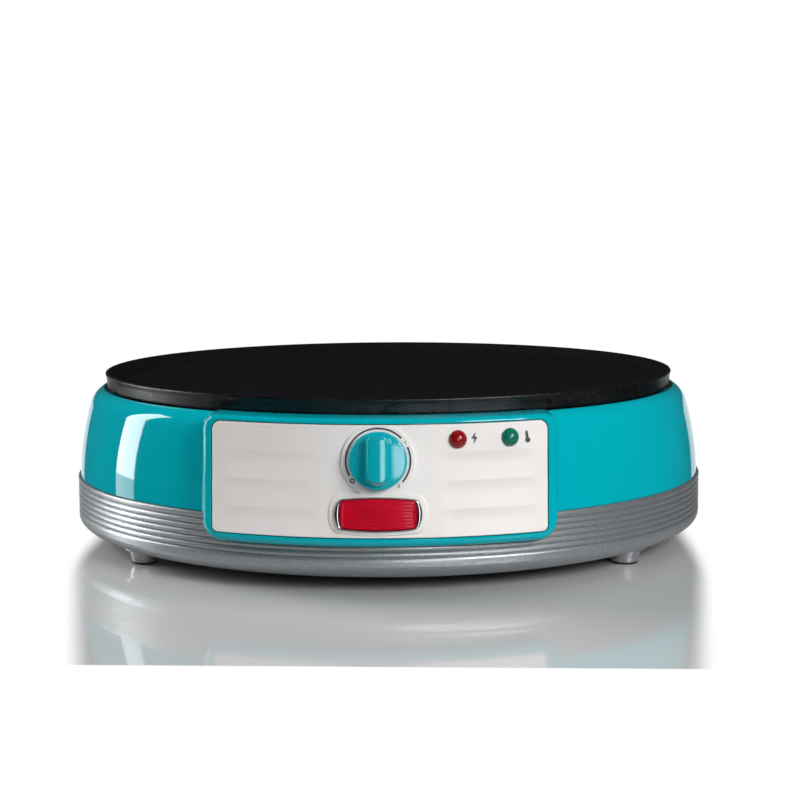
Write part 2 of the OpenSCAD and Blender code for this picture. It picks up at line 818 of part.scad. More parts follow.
module front_panel() {
    color([0.93, 0.92, 0.9]) difference() {
        union() {
            difference() {
                intersection() {
                    front_prism()
                        round_rect(panel_w / 2, panel_z0, panel_z1, panel_corner_up, panel_corner_low);
                    face_cone(0);
                }
                face_cone(-panel_t);
                intersection() {
                    union() {
                        for (side = [-1, 1]) for (i = [0 : hollow_count - 1])
                            hollow(side, panel_z1 - hollow_drop - i * hollow_pitch);
                    }
                    front_prism() round_rect(panel_w / 2 - 1, panel_z0 + 1, panel_z1 - 1, 3, 2);
                }
            }
            // raised dial
            intersection() {
                on_face(0, knob_z) translate([0, 0, -1.6]) cylinder(h = 1.6 + dial_h, d = dial_d);
                front_prism() round_rect(panel_w / 2, panel_z0, panel_z1 - 0.4, 1, 1);
            }
            // raised surround of the badge
            difference() {
                intersection() {
                    front_prism() translate([0, badge_z])
                        barrel(badge_w + 2 * surround + 1, badge_h + 2 * surround, 1.8, 1.3);
                    face_cone(surround_h);
                }
                face_cone(-1);
            }
            at_panel_screws() translate([0, 0, -back_wall - 0.5])
                cylinder(h = back_wall - 0.5, d = panel_boss_d);
        }
        on_face(0, knob_z) translate([0, 0, -6]) cylinder(h = 12, d = shaft_d + 2);
        for (a = [power_a, ready_a])
            on_face(a, lamp_z) translate([0, 0, -6]) cylinder(h = 12, d = stem_d + 0.1);
        at_panel_screws() translate([0, 0, -back_wall - 2])
            cylinder(h = back_wall + 0.8, d = small_screw_d + 2 * screw_fit);
    }
}

module panel_screws() {
    color("gainsboro") at_panel_screws() translate([0, 0, -back_wall - 0.5]) mirror([0, 0, 1])
        screw(small_screw_d, small_head_d + 2, back_wall - 1);
}

module arc_line(a0, a1) {
    rotate([0, 0, 90 - a1]) rotate_extrude(angle = a1 - a0)
        translate([arc_r - line_w / 2, 0]) square([line_w, ink_t]);
}

module dial_marks() {
    mark_r = arc_r + 0.2;
    color([0.08, 0.08, 0.08]) on_face(0, knob_z) translate([0, 0, dial_h]) {
        arc_line(-117, 46);
        arc_line(65, 131);
        // off mark
        rotate([0, 0, 128]) translate([0, mark_r, 0]) difference() {
            cylinder(h = ink_t, r = 1.05);
            translate([0, 0, -1]) cylinder(h = 3, r = 0.55);
        }
        // plain strokes at the two settings
        for (a = [56.5, 141])
            rotate([0, 0, -a]) translate([-line_w / 2, mark_r - 0.7, 0]) cube([line_w, 1.4, ink_t]);
    }
}

module panel_icons() {
    color([0.2, 0.22, 0.24]) {
        // lightning bolt beside the power lamp
        icon_skin() translate([face_point(power_a + 2.55, lamp_z, [0, 0, 0])[0], lamp_z + 0.3])
            polygon([[0.5, 2.4], [-1.5, -0.2], [-0.2, -0.2], [-0.3, -2.4], [1.5, 0.5], [0.3, 0.5]]);
        // thermometer beside the ready lamp
        icon_skin() translate([face_point(ready_a + 2.75, lamp_z, [0, 0, 0])[0], lamp_z]) {
            translate([-0.55, -1]) square([1.1, 2.9]);
            translate([0, 1.9]) circle(0.55);
            translate([0, -1.6]) circle(1);
        }
    }
}

// A thin printed skin on the panel's face in the outline of its children
module icon_skin() {
    difference() {
        intersection() {
            front_prism() children();
            face_cone(ink_t);
        }
        face_cone(0);
    }
}

// ---------- badge ----------

module badge_bezel() {
    color([0.85, 0.86, 0.88]) difference() {
        intersection() {
            front_prism() translate([0, badge_z]) barrel(badge_w, badge_h, 1.65, 1.1);
            face_cone(surround_h + bezel_t);
        }
        face_cone(surround_h);
        front_prism() translate([0, badge_z])
            barrel(badge_w - 2 * bezel_end, badge_h - 2 * bezel_edge, 1.5, 1.1);
    }
}

// The enamelled plate, with fine grooves across it
module badge_plate() {
    plate_fit = 0.1;
    color([0.75, 0.02, 0.1]) difference() {
        intersection() {
            front_prism() translate([0, badge_z])
                barrel(badge_w - 2 * (bezel_end + plate_fit), badge_h - 2 * (bezel_edge + plate_fit),
                    1.5, 1.1);
            face_cone(surround_h + badge_t);
        }
        face_cone(surround_h);
        for (i = [-rib_steps : rib_steps])
            rotate_extrude($fn = 360)
                translate([face_r(badge_z + i * rib_pitch) + surround_h + badge_t - rib_depth,
                    badge_z + i * rib_pitch - rib_w / 2])
                    square([rib_depth + 2, rib_w]);
    }
}

// ---------- lamps ----------

module lens() {
    dome_r = (lens_d * lens_d / 4 + lens_h * lens_h) / (2 * lens_h);
    intersection() {
        translate([0, 0, lens_h - dome_r + 0.6]) sphere(dome_r);
        translate([0, 0, 0.05]) cylinder(h = lens_h + 2, d = lens_d);
    }
    translate([0, 0, -6.5]) cylinder(h = 6.7, d = stem_d);
}

module neon_lamp() {
    translate([0, 0, -7 - neon_len]) cylinder(h = neon_len, d = stem_d);
}

module power_lens() { color([0.7, 0.02, 0.05]) on_face(power_a, lamp_z) lens(); }
module ready_lens() { color([0.0, 0.45, 0.33]) on_face(ready_a, lamp_z) lens(); }
module power_lamp() { color("orange") on_face(power_a, lamp_z) neon_lamp(); }
module ready_lamp() { color("palegreen") on_face(ready_a, lamp_z) neon_lamp(); }

// ---------- knob and thermostat ----------

module knob() {
    base_w = dial_h + knob_gap;
    top_w = base_w + knob_disc_h;
    color([0.0, 0.66, 0.7]) on_face(0, knob_z) difference() {
        union() {
            translate([0, 0, base_w]) cylinder(h = knob_disc_h - 0.8, d = knob_d);
            translate([0, 0, top_w - 0.8]) cylinder(h = 0.8, d1 = knob_d, d2 = knob_d - 1.2);
            intersection() {
                translate([-grip_w / 2, -grip_len / 2, base_w])
                    cube([grip_w, grip_len, knob_disc_h + grip_h]);
                translate([0, 0, base_w])
                    cylinder(h = knob_disc_h + grip_h, d1 = grip_len + 3, d2 = grip_len - 1);
            }
        }
        // hollow back
        translate([0, 0, base_w - 1]) difference() {
            cylinder(h = knob_disc_h - 1, d = knob_d - 4);
            cylinder(h = knob_disc_h, d = shaft_d + 5);
        }
        // D-shaped socket
        translate([0, 0, base_w - 1]) difference() {
            cylinder(h = knob_disc_h + 4, d = shaft_d + 2 * shaft_fit);
            translate([shaft_d / 2 - 1 + shaft_fit, -5, -1]) cube([5, 10, 30]);
        }
    }
}

module thermostat_shaft() {
    flat_w = dial_h + knob_gap;
    color([0.8, 0.8, 0.78]) on_face(0, knob_z) difference() {
        translate([0, 0, -thermo_front - 5])
            cylinder(h = thermo_front + 5 + flat_w + knob_disc_h + 2.5, d = shaft_d);
        translate([shaft_d / 2 - 1, -5, flat_w - 1]) cube([5, 10, 30]);
    }
}

module thermostat_body() {
    color([0.85, 0.82, 0.74]) on_face(0, knob_z) difference() {
        union() {
            translate([-thermo_w / 2, -thermo_h / 2, -thermo_back]) cube([thermo_w, thermo_h, thermo_depth]);
            translate([0, 0, -thermo_front]) cylinder(h = thermo_front - neck_end, d = neck_d);
            for (side = [-1, 1])
                translate([side * tab_x - tab_w / 2, -tab_t / 2, -tab_end])
                    cube([tab_w, tab_t, tab_h + 1]);
        }
        translate([0, 0, -thermo_front - 5.3]) cylinder(h = 30, d = shaft_d + 2 * shaft_fit);
    }
}

module thermostat_bracket() {
    color("silver") on_face(0, knob_z) difference() {
        translate([-bracket_pitch / 2 - 5, -8, -thermo_front]) cube([bracket_pitch + 10, 16, bracket_t]);
        translate([0, 0, -thermo_front - 1]) cylinder(h = 5, d = neck_d + 0.3);
        for (side = [-1, 1])
            translate([side * bracket_pitch / 2, 0, -thermo_front - 1])
                cylinder(h = 5, d = small_screw_d + 2 * screw_fit);
    }
}

module thermostat_nut() {
    color("goldenrod") on_face(0, knob_z) translate([0, 0, -bracket_seat]) difference() {
        cylinder(h = nut_h, d = hex_nut_d, $fn = 6);
        translate([0, 0, -1]) cylinder(h = nut_h + 2, d = neck_d + 0.1);
    }
}

module bracket_screws() {
    color("gainsboro") for (side = [-1, 1])
        on_face(0, knob_z) translate([side * bracket_pitch / 2, 0, -thermo_front]) mirror([0, 0, 1])
            screw(small_screw_d, small_head_d, bracket_t + 3.6);
}

module sensing_bulb() {
    color("peru") translate([bulb_x, bulb_y + bulb_len / 2, bulb_z]) rotate([90, 0, 0])
        cylinder(h = bulb_len, d = bulb_d);
}

// A strap over a round body that lies against the plate, with one screw ear
module strap(d, w) {
    difference() {
        union() {
            translate([-d / 2 - strap_t, -w / 2, -d / 2 - strap_t]) cube([d + 2 * strap_t, w, d + strap_t]);
            translate([d / 2, -w / 2, d / 2 - strap_t]) cube([9, w, strap_t]);
        }
        translate([-d / 2 - 0.05, -w, -d / 2 - 0.05]) cube([d + 0.1, 2 * w, d + 2]);
        translate([d / 2 + 5, 0, 0]) cylinder(h = 10, d = small_screw_d + 2 * screw_fit);
    }
}

module bulb_clip() {
    color("silver") translate([bulb_x, bulb_y, bulb_z + lie_gap]) strap(bulb_d, 9);
}

module fuse_clip() {
    color("silver") translate([fuse_x, fuse_y, fuse_z + lie_gap]) strap(fuse_d, 7);
}

module thermal_fuse() {
    color("gold") translate([fuse_x, fuse_y + fuse_len / 2, fuse_z]) rotate([90, 0, 0])
        cylinder(h = fuse_len, d = fuse_d);
}

module at_clip_screws() {
    translate([bulb_x + bulb_d / 2 + 5, bulb_y, plate_under - strap_t]) children();
    translate([fuse_x + fuse_d / 2 + 5, fuse_y, plate_under - strap_t]) children();
}

module clip_screws() {
    color("gainsboro") at_clip_screws() mirror([0, 0, 1]) screw(small_screw_d, small_head_d, strap_t + 2.4);
}

// The capillary leaves the back of the thermostat and rises to the bulb
module capillary_tube() {
    end = [bulb_x, bulb_y - bulb_len / 2 - 0.1, bulb_z];
    color("peru") wire([
        behind_thermo(0, 0, wire_gap), behind_thermo(0, 0, 6), [4, -126, 56], [12, -110, 55],
        [22, -96, 58], [28, -84, 64], [30, -74, 70], [30, -64, 74.5], end - [0, 6, 0], end
    ], capillary_d);
}

// ---------- hot plate and heater ----------

module hot_plate() {
    color([0.09, 0.09, 0.1]) difference() {
        union() {
            rotate_extrude() polygon([
                [0, plate_under], [plate_r - side_draft - 1.5, plate_under],
                [plate_r - side_draft, plate_under + edge_bevel], [plate_r - 0.4, total_h - 1.2],
                [plate_r, total_h - 0.6], [plate_r - 0.5, total_h], [plate_r - rim_land, total_h],
                [rim_floor_r, total_h - recess_h], [0, total_h - recess_h]
            ]);
            four_around(45, plate_boss_r)
                translate([0, 0, plate_under - plate_boss_h])
                    cylinder(h = plate_boss_h + 1, d = plate_boss_d);
            // walls of the channel for the element
            rotate([0, 0, 90 + element_gap_a]) rotate_extrude(angle = 360 - 2 * element_gap_a)
                for (side = [-1, 1])
                    translate([element_r + side * channel_mid - channel_wall / 2, plate_under - channel_h])
                        square([channel_wall, channel_h + 0.5]);
        }
        four_around(45, plate_boss_r)
            translate([0, 0, plate_under - plate_boss_h - 1])
                cylinder(h = 10, d = screw_d + 2 * screw_fit);
        at_clip_screws() cylinder(h = strap_t + 2.6, d = small_screw_d + 2 * screw_fit);
    }
}

module element_end(side) {
    bend_lap = 2;
    // the sheath leaves the ring along its tangent and turns down
    end_a = 180 - side * element_gap_a;
    spin(end_a) translate([0, -element_r, element_z])
        rotate([0, 0, side > 0 ? 0 : 180]) translate([0, 0, -element_bend_r])
            rotate(a = -120, v = [1, 1, 1]) rotate([0, 0, -bend_lap])
                rotate_extrude(angle = 90 + 2 * bend_lap)
                    translate([element_bend_r, 0]) circle(d = element_d - 0.04);
}

module heating_element() {
    color([0.45, 0.42, 0.4]) {
        rotate([0, 0, 90 + element_gap_a]) rotate_extrude(angle = 360 - 2 * element_gap_a)
            translate([element_r, element_z]) circle(d = element_d);
        for (side = [-1, 1]) {
            element_end(side);
            translate([side * leg_x, leg_y, leg_end_z]) cylinder(h = element_leg, d = element_d);
        }
    }
}

module element_pins() {
    color("silver") for (side = [-1, 1])
        translate([side * leg_x, leg_y, pin_end_z]) cylinder(h = pin_h, d = pin_d);
}

module heat_shield() {
    color([0.7, 0.7, 0.7]) difference() {
        rotate_extrude() polygon([
            [0, shield_floor_z - shield_t], [shield_wall_r, shield_floor_z - shield_t],
            [shield_wall_r, shield_flange_z - shield_t], [shield_flange_r, shield_flange_z - shield_t],
            [shield_flange_r, shield_flange_z], [shield_wall_r - shield_t, shield_flange_z],
            [shield_wall_r - shield_t, shield_floor_z], [0, shield_floor_z]
        ]);
        four_around(45, plate_boss_r) cylinder(h = total_h, d = screw_d + 2 * screw_fit);
        four_around(shield_boss_a, shield_boss_r) cylinder(h = total_h, d = small_screw_d + 2 * screw_fit);
        for (side = [-1, 1])
            translate([side * leg_x, leg_y, shield_floor_z - 5]) cylinder(h = 10, d = element_d + 4);
        translate([0, earth_y, shield_floor_z - 5]) cylinder(h = 10, d = small_screw_d + 2 * screw_fit);
        // hole for the capillary
        translate([capillary_hole_x, capillary_hole_y, shield_floor_z - 5])
            cylinder(h = 10, d = capillary_hole_d);
    }
}

module plate_screws() {
    color("gainsboro") four_around(45, plate_boss_r)
        translate([0, 0, shield_floor_z - shield_t]) mirror([0, 0, 1]) screw(screw_d, screw_head_d, 9);
}

module shield_screws() {
    color("gainsboro") four_around(shield_boss_a, shield_boss_r)
        translate([0, 0, shield_flange_z - shield_t]) mirror([0, 0, 1])
            screw(small_screw_d, small_head_d, shield_t + 4.4);
}

// ---------- wiring ----------

module terminal_block() {
    color("ivory") difference() {
        translate([-block_w / 2, block_y, block_z]) cube([block_w, block_depth, block_h]);
        for (i = [-1 : 1])
            translate([i * pole_x, block_y + block_depth / 2, block_z + block_h - 5])
                cylinder(h = 6, d = 4.4);
        for (i = [-1 : 1])
            translate([i * pole_x, block_y + block_depth / 2, block_z + block_h - 9])
                cylinder(h = 6, d = 3.2);
        for (side = [-1, 1]) {
            translate([side * pole_x / 2, block_y + block_depth / 2, 0])
                cylinder(h = total_h, d = small_screw_d + 2 * screw_fit);
            translate([side * pole_x / 2, block_y + block_depth / 2, block_z + 4])
                cylinder(h = block_h, d = small_head_d + 0.2);
        }
        for (i = [-1 : 1])
            translate([i * pole_x, block_y + block_depth + 1, wire_z]) rotate([90, 0, 0])
                cylinder(h = 6, d = 3.4);
    }
}

module terminal_screws() {
    color("goldenrod") for (i = [-1 : 1])
        translate([i * pole_x, block_y + block_depth / 2, block_z + block_h - 5])
            screw(3, 4.2, 3);
}

module block_screws() {
    color("gainsboro") for (side = [-1, 1])
        translate([side * pole_x / 2, block_y + block_depth / 2, block_z + 4])
            screw(small_screw_d, small_head_d, 8);
}

module wire_live() {
    color("saddlebrown") wire([
        [pole_x, block_front, wire_z], [13, 86, 14.5], [24, 73, 12], [43, 54, 11], [55, 22, 11],
        [57, -26, 11], [52, -70, 14], [40, -100, 24], [24, -117, 38], [12, -126, 52],
        behind_thermo(tab_x, 0, tab_h + 6), behind_thermo(tab_x, 0, tab_h + wire_gap)
    ], wire_d);
}

module wire_heater() {
    color("black") wire([
        [leg_x, leg_y, pin_end_z - wire_gap], [leg_x, leg_y, pin_end_z - 7], [leg_x + 3, leg_y - 9, 30],
        [25, 66, 21], [34, 36, 15], [36, -6, 12], [31, -46, 13], [16, -80, 20], [0, -104, 34],
        [-8, -122, 49], behind_thermo(-tab_x, 0, tab_h + 6), behind_thermo(-tab_x, 0, tab_h + wire_gap)
    ], wire_d);
}

module wire_neutral() {
    color("royalblue") wire([
        [-pole_x, block_front, wire_z], [-12.5, 88, 14.8], [-18, 79, 17.5], [-20.5, 75, 24],
        [-17.5, 82, 31], [-leg_x, leg_y - 1.5, pin_end_z - 8],
        [-leg_x, leg_y, pin_end_z - wire_gap]
    ], wire_d);
}

module wire_earth() {
    color("yellowgreen") wire([
        [0, block_front, wire_z], [0, 86, 15.5], [-1, 74, 22], [-1, 64, 36], [0, earth_y + 2, 50],
        [0, earth_y + 6, earth_z - 7], [0, earth_y + 7, earth_z - wire_gap]
    ], wire_d);
}

module earth_tag() {
    color("silver") translate([0, earth_y, earth_z]) difference() {
        union() {
            cylinder(h = earth_tag_t, d = 9);
            translate([-3, 0, 0]) cube([6, 10, earth_tag_t]);
        }
        translate([0, 0, -1]) cylinder(h = 3, d = small_screw_d + 2 * screw_fit);
    }
}

module earth_screw() {
    color("gainsboro") translate([0, earth_y, earth_z]) mirror([0, 0, 1])
        screw(small_screw_d, small_head_d, 6);
}

module wire_power_lamp() {
    color("white") wire([
        face_point(power_a, lamp_z, [0, 0, -lamp_back - wire_gap]),
        face_point(power_a, lamp_z, [0, 0, -lamp_back - 4]), [26.5, -136.5, 65],
        [21, -135.5, 64.3], [15.8, -137.5, 65.2], behind_thermo(12, 7, 3.5), behind_thermo(12, 7, wire_gap)
    ], lamp_wire_d);
}

module wire_ready_lamp() {
    color("white") wire([
        face_point(ready_a, lamp_z, [0, 0, -lamp_back - wire_gap]),
        face_point(ready_a, lamp_z, [0, 0, -lamp_back - 4]), [46, -130.8, 63],
        [39, -130, 58], [31, -131.5, 54.3], [23, -134.5, 52.2], [16.5, -138.5, 51.8],
        behind_thermo(12, -7, 3.5), behind_thermo(12, -7, wire_gap)
    ], lamp_wire_d);
}

// ---------- cord gland ----------

module cord_gland() {
    color([0.1, 0.1, 0.1]) translate([0, gland_seat_y, gland_z]) rotate([-90, 0, 0]) difference() {
        union() {
            cylinder(h = gland_flange_t, d = gland_flange_d);
            translate([0, 0, gland_flange_t])
                cylinder(h = gland_out, d1 = gland_thread_d + 1, d2 = gland_thread_d - 3);
            translate([0, 0, gland_wall_y - gland_seat_y - gland_nut_h - 2])
                cylinder(h = gland_seat_y - gland_wall_y + gland_nut_h + 2.1, d = gland_thread_d);
        }
        translate([0, 0, -30]) cylinder(h = 60, d = gland_bore_d);
    }
}

module gland_nut() {
    color([0.15, 0.15, 0.15]) translate([0, gland_wall_y, gland_z]) rotate([90, 0, 0]) difference() {
        cylinder(h = gland_nut_h, d = gland_flange_d, $fn = 6);
        translate([0, 0, -1]) cylinder(h = gland_nut_h + 2, d = gland_thread_d + 0.2);
    }
}

base_shell();
upper_housing();
front_panel();
dial_marks();
panel_icons();
knob();
thermostat_shaft();
thermostat_body();
thermostat_bracket();
thermostat_nut();
bracket_screws();
capillary_tube();
sensing_bulb();
bulb_clip();
badge_plate();
badge_bezel();
power_lens();
ready_lens();
power_lamp();
ready_lamp();
hot_plate();
heating_element();
element_pins();
heat_shield();
plate_screws();
shield_screws();
thermal_fuse();
fuse_clip();
clip_screws();
foot_front_left();
foot_front_right();
foot_rear_left();
foot_rear_right();
pad_front_left();
pad_front_right();
pad_rear_left();
pad_rear_right();
foot_screws();
housing_screws();
terminal_block();
terminal_screws();
block_screws();
wire_live();
wire_neutral();
wire_heater();
wire_earth();
wire_power_lamp();
wire_ready_lamp();
earth_tag();
earth_screw();
cord_gland();
gland_nut();
panel_screws();
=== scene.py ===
"""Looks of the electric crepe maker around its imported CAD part.

Shapes are written in millimetres in the part's own frame, and become metres when a mesh is made.
The floor, the lamps and the grain of the materials are in metres.
"""

import functools
import json
import math

import bmesh
import bpy
from mathutils import Matrix, Vector


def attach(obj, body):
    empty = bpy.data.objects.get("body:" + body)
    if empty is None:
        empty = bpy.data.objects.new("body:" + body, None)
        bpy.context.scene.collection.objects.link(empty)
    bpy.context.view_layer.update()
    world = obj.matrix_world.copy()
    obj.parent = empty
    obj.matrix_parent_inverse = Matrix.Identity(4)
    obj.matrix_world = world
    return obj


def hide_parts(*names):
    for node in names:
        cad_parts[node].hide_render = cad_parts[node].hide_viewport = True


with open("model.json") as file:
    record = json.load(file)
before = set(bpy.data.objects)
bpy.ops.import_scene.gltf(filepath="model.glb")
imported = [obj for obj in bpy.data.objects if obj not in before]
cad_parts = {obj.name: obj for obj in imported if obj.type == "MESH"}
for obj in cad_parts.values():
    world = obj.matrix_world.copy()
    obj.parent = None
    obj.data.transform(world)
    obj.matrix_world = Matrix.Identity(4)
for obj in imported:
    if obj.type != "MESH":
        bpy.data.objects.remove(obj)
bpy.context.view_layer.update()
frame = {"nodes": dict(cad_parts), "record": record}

MM = 0.001
BODY = "appliance"
KNOB = "control_knob"

# ---------- sizes, mostly those of the part's source ----------

# hot plate
PLATE_R = 150.0
PLATE_UNDER, TOTAL_Z = 79.6, 88.0
RECESS = 4.4  # depth of the cooking surface below the rim
RIM_LAND = 2.3  # flat top of the rim
RIM_FLOOR_R = 142.2  # where the slope inside the rim meets the cooking surface
# upper housing: a long arc up the side and a short one over the shoulder, which meet at TANGENT_Z
JOINT_Z = 34.8  # where the housing stands on the base
SIDE_X, SIDE_Z, SIDE_R = 14.0, 30.0, 150.0
CORNER_X, CORNER_Z, CORNER_R = 147.18, 69.8, 11.0
TANGENT_Z = 72.95
WELL_R, WELL_ROUND = 150.5, 0.6
SHELF_Z, SHELF_UNDER, SHELF_R = 77.2, 74.7, 134.0
WALL = 2.5
CHAMFER = 0.3
# control box, whose face is a cone that leans back
LEAN = math.radians(7)
FACE_MID_R, FACE_MID_Z = 170.0, 53.15
BOX_IN_R = 158.2
BOX_HALF, BOX_Z0, BOX_Z1, BOX_UP_R, BOX_LOW_R = 81.0, 23.9, 80.8, 6.8, 8.4
EDGE_UP_R, EDGE_SIDE_R, EDGE_LOW_R = 1.9, 2.3, 3.6  # rounding of the frame's outer edge
LIP_R = 0.3
SEAT_Z = 80.0  # above this level the box meets the well, below it the housing's side
# front panel
PANEL_HALF, PANEL_Z0, PANEL_Z1, PANEL_UP_R, PANEL_LOW_R = 76.35, 28.15, 78.15, 4.1, 2.3
PANEL_MID_Z = (PANEL_Z0 + PANEL_Z1) / 2
PANEL_T = 2.0
PANEL_GAP = 0.45
PANEL_BACK_GAP = 0.3
PANEL_EDGE_R = 0.5
# knob and dial
KNOB_Z = 62.5
DIAL_R, DIAL_H, DIAL_EDGE_R = 16.4, 0.9, 0.45
KNOB_GAP = 0.5
KNOB_R, KNOB_EDGE_R = 13.0, 1.1
DISC_H = 5.0
GRIP_H = 6.0
DOME_R = 80.0
ARC_R = 14.4
LINE_W = 0.75
# badge: how far its pieces stand out of the face
BADGE_Z = 39.0
SURROUND_UNDER, SURROUND_EDGE, SURROUND_TOP, SURROUND_SEAT = -0.6, 0.15, 1.0, 0.9
BEZEL_UNDER, BEZEL_EDGE, BEZEL_TOP = 1.0, 1.5, 2.75
BADGE_UNDER, BADGE_TOP = 1.0, 2.1
# lamps
LAMP_Z = 71.4
POWER_A, READY_A = 12.2, 20.6
# feet
FOOT_X, FOOT_Y = 118.05, 90.91


def face_r(z):
    """Radius of the control box's face at level z."""
    return FACE_MID_R + (FACE_MID_Z - z) * math.tan(LEAN)


def on_face(a, z, p):
    """The place of p = (across, up the face, out of it) on the face at a degrees and level z."""
    t = math.radians(a)
    r = face_r(z) - p[1] * math.sin(LEAN) + p[2] * math.cos(LEAN)
    return (
        p[0] * math.cos(t) + r * math.sin(t),
        p[0] * math.sin(t) - r * math.cos(t),
        z + p[1] * math.cos(LEAN) + p[2] * math.sin(LEAN),
    )


def on_cone(x, z, out):
    """The point of the face's cone at x and z, moved out by out."""
    r = face_r(z) + out
    return (x, -math.sqrt(r * r - x * x), z)


def body_r(z):
    """Outer radius of the housing at level z."""
    if z <= TANGENT_Z:
        return SIDE_X + math.sqrt(SIDE_R**2 - (z - SIDE_Z) ** 2)
    r = CORNER_X + math.sqrt(max(CORNER_R**2 - (z - CORNER_Z) ** 2, 0.0))
    return max(r, WELL_R)


def smooth(x, lo=0.0, hi=1.0):
    """0 up to lo, 1 from hi on, and an S-curve between them."""
    t = min(max((x - lo) / (hi - lo), 0.0), 1.0)
    return t * t * (3 - 2 * t)


def steps(a, b, n):
    """n + 1 numbers from a to b."""
    return [a + (b - a) * i / n for i in range(n + 1)]


def arc(cx, cy, r, a0, a1, n):
    """n + 1 points on a circle, from a0 to a1 degrees."""
    turns = [math.radians(a) for a in steps(a0, a1, n)]
    return [(cx + r * math.cos(t), cy + r * math.sin(t)) for t in turns]


def shrunk(line, mid_z, out, fractions):
    """Rows on the cone that shrink an outline of (x, z) towards the middle at mid_z."""
    return [
        [on_cone(x * t, mid_z + (z - mid_z) * t, out) for x, z in line] for t in fractions
    ]


# ---------- meshes ----------

# metres: points nearer than WELD become one, and edges shorter than SLIVER go
WELD, SLIVER = 2e-6, 1e-6


class Shape:
    """Points and faces in millimetres."""

    def __init__(self):
        self.points = []
        self.faces = []

    def rows(self, rows, loop=False, ring=False):
        """Skins rows of points. loop closes each row, ring joins the last row to the first."""
        base = len(self.points)
        n = len(rows[0])
        for row in rows:
            self.points.extend(row)
        last = len(rows) if ring else len(rows) - 1
        for i in range(last):
            a, b = base + i * n, base + (i + 1) % len(rows) * n
            for k in range(n if loop else n - 1):
                j = (k + 1) % n
                self.faces.append((a + k, a + j, b + j, b + k))
        return base

    def cap(self, row, centre):
        """A fan from a closed row to a centre point."""
        base = len(self.points)
        self.points.extend([*row, centre])
        n = len(row)
        for k in range(n):
            self.faces.append((base + k, base + (k + 1) % n, base + n))

    def spin(self, profile, count, place=lambda x, y, w: (x, y, w)):
        """Turns a profile of (radius, height) about the axis that place stands it on."""
        turns = [2 * math.pi * k / count for k in range(count)]
        self.rows(
            [[place(r * math.sin(t), -r * math.cos(t), w) for r, w in profile] for t in turns],
            ring=True,
        )


def make(name, shape, look, body=BODY, nodes=(), sharp=32):
    """A mesh object from a shape, smooth but for edges sharper than sharp degrees."""
    mesh = bpy.data.meshes.new(name)
    mesh.from_pydata([[c * MM for c in p] for p in shape.points], [], shape.faces)
    bm = bmesh.new()
    bm.from_mesh(mesh)
    bmesh.ops.remove_doubles(bm, verts=bm.verts, dist=WELD)
    bmesh.ops.dissolve_degenerate(bm, edges=bm.edges, dist=SLIVER)
    bmesh.ops.recalc_face_normals(bm, faces=bm.faces)
    limit = math.radians(sharp)
    for e in bm.edges:
        e.smooth = len(e.link_faces) == 2 and e.calc_face_angle(0) < limit
    for f in bm.faces:
        f.smooth = True
    bm.to_mesh(mesh)
    bm.free()
    mesh.materials.append(look)
    obj = bpy.data.objects.new(name, mesh)
    bpy.context.scene.collection.objects.link(obj)
    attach(obj, body)
    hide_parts(*nodes)
    return obj


# ---------- nodes of materials ----------


def screen(r, g, b, k=1.0):
    """Linear colour of an 8-bit screen colour, k times as bright."""
    return tuple(
        k * (((c / 255 + 0.055) / 1.055) ** 2.4 if c > 10 else c / 255 / 12.92)
        for c in (r, g, b)
    ) + (1.0,)


def node(tree, kind, feeds=None, **values):
    """A new node. values sets its inputs and settings, feeds links outputs to its inputs."""
    n = tree.nodes.new(kind)
    for key, value in values.items():
        socket = key.replace("_", " ")
        if socket in n.inputs:
            n.inputs[socket].default_value = value
        else:
            setattr(n, key, value)
    for key, output in (feeds or {}).items():
        tree.links.new(output, n.inputs[key])
    return n


def shader_of(name):
    """A new material with its shader node, whose id_data is the node tree."""
    m = bpy.data.materials.new(name)
    m.use_nodes = True
    return m, m.node_tree.nodes["Principled BSDF"]


def dress(shader, **sockets):
    """Sets the shader's sockets to values, or links them to outputs."""
    for key, value in sockets.items():
        socket = shader.inputs[key.replace("_", " ")]
        if isinstance(value, bpy.types.NodeSocket):
            shader.id_data.links.new(value, socket)
        else:
            socket.default_value = value


def object_place(tree):
    return node(tree, "ShaderNodeTexCoord").outputs["Object"]


def mapped(tree, vector, **values):
    return node(tree, "ShaderNodeMapping", {"Vector": vector}, **values).outputs["Vector"]


def noise(tree, vector, scale, detail, **values):
    values.update(Scale=scale, Detail=detail)
    return node(tree, "ShaderNodeTexNoise", {"Vector": vector}, **values).outputs["Fac"]


def ramp(tree, value, low, high, to_low=0.0, to_high=1.0, **values):
    """Takes low..high to to_low..to_high and holds the ends."""
    values.update(From_Min=low, From_Max=high, To_Min=to_low, To_Max=to_high)
    return node(tree, "ShaderNodeMapRange", {"Value": value}, **values).outputs["Result"]


def maths(tree, operation, *terms):
    """The result of an operation on numbers and outputs."""
    n = node(tree, "ShaderNodeMath", operation=operation)
    for socket, term in zip(n.inputs, terms):
        if isinstance(term, bpy.types.NodeSocket):
            tree.links.new(term, socket)
        else:
            socket.default_value = term
    return n.outputs["Value"]


def tint(tree, factor, first, second):
    """A colour between two colours."""
    n = node(tree, "ShaderNodeMix", {0: factor}, data_type="RGBA")
    n.inputs[6].default_value = first
    n.inputs[7].default_value = second
    return n.outputs[2]


def relief(tree, height, strength, distance):
    values = {"Strength": strength, "Distance": distance}
    return node(tree, "ShaderNodeBump", {"Height": height}, **values).outputs["Normal"]


# ---------- materials ----------


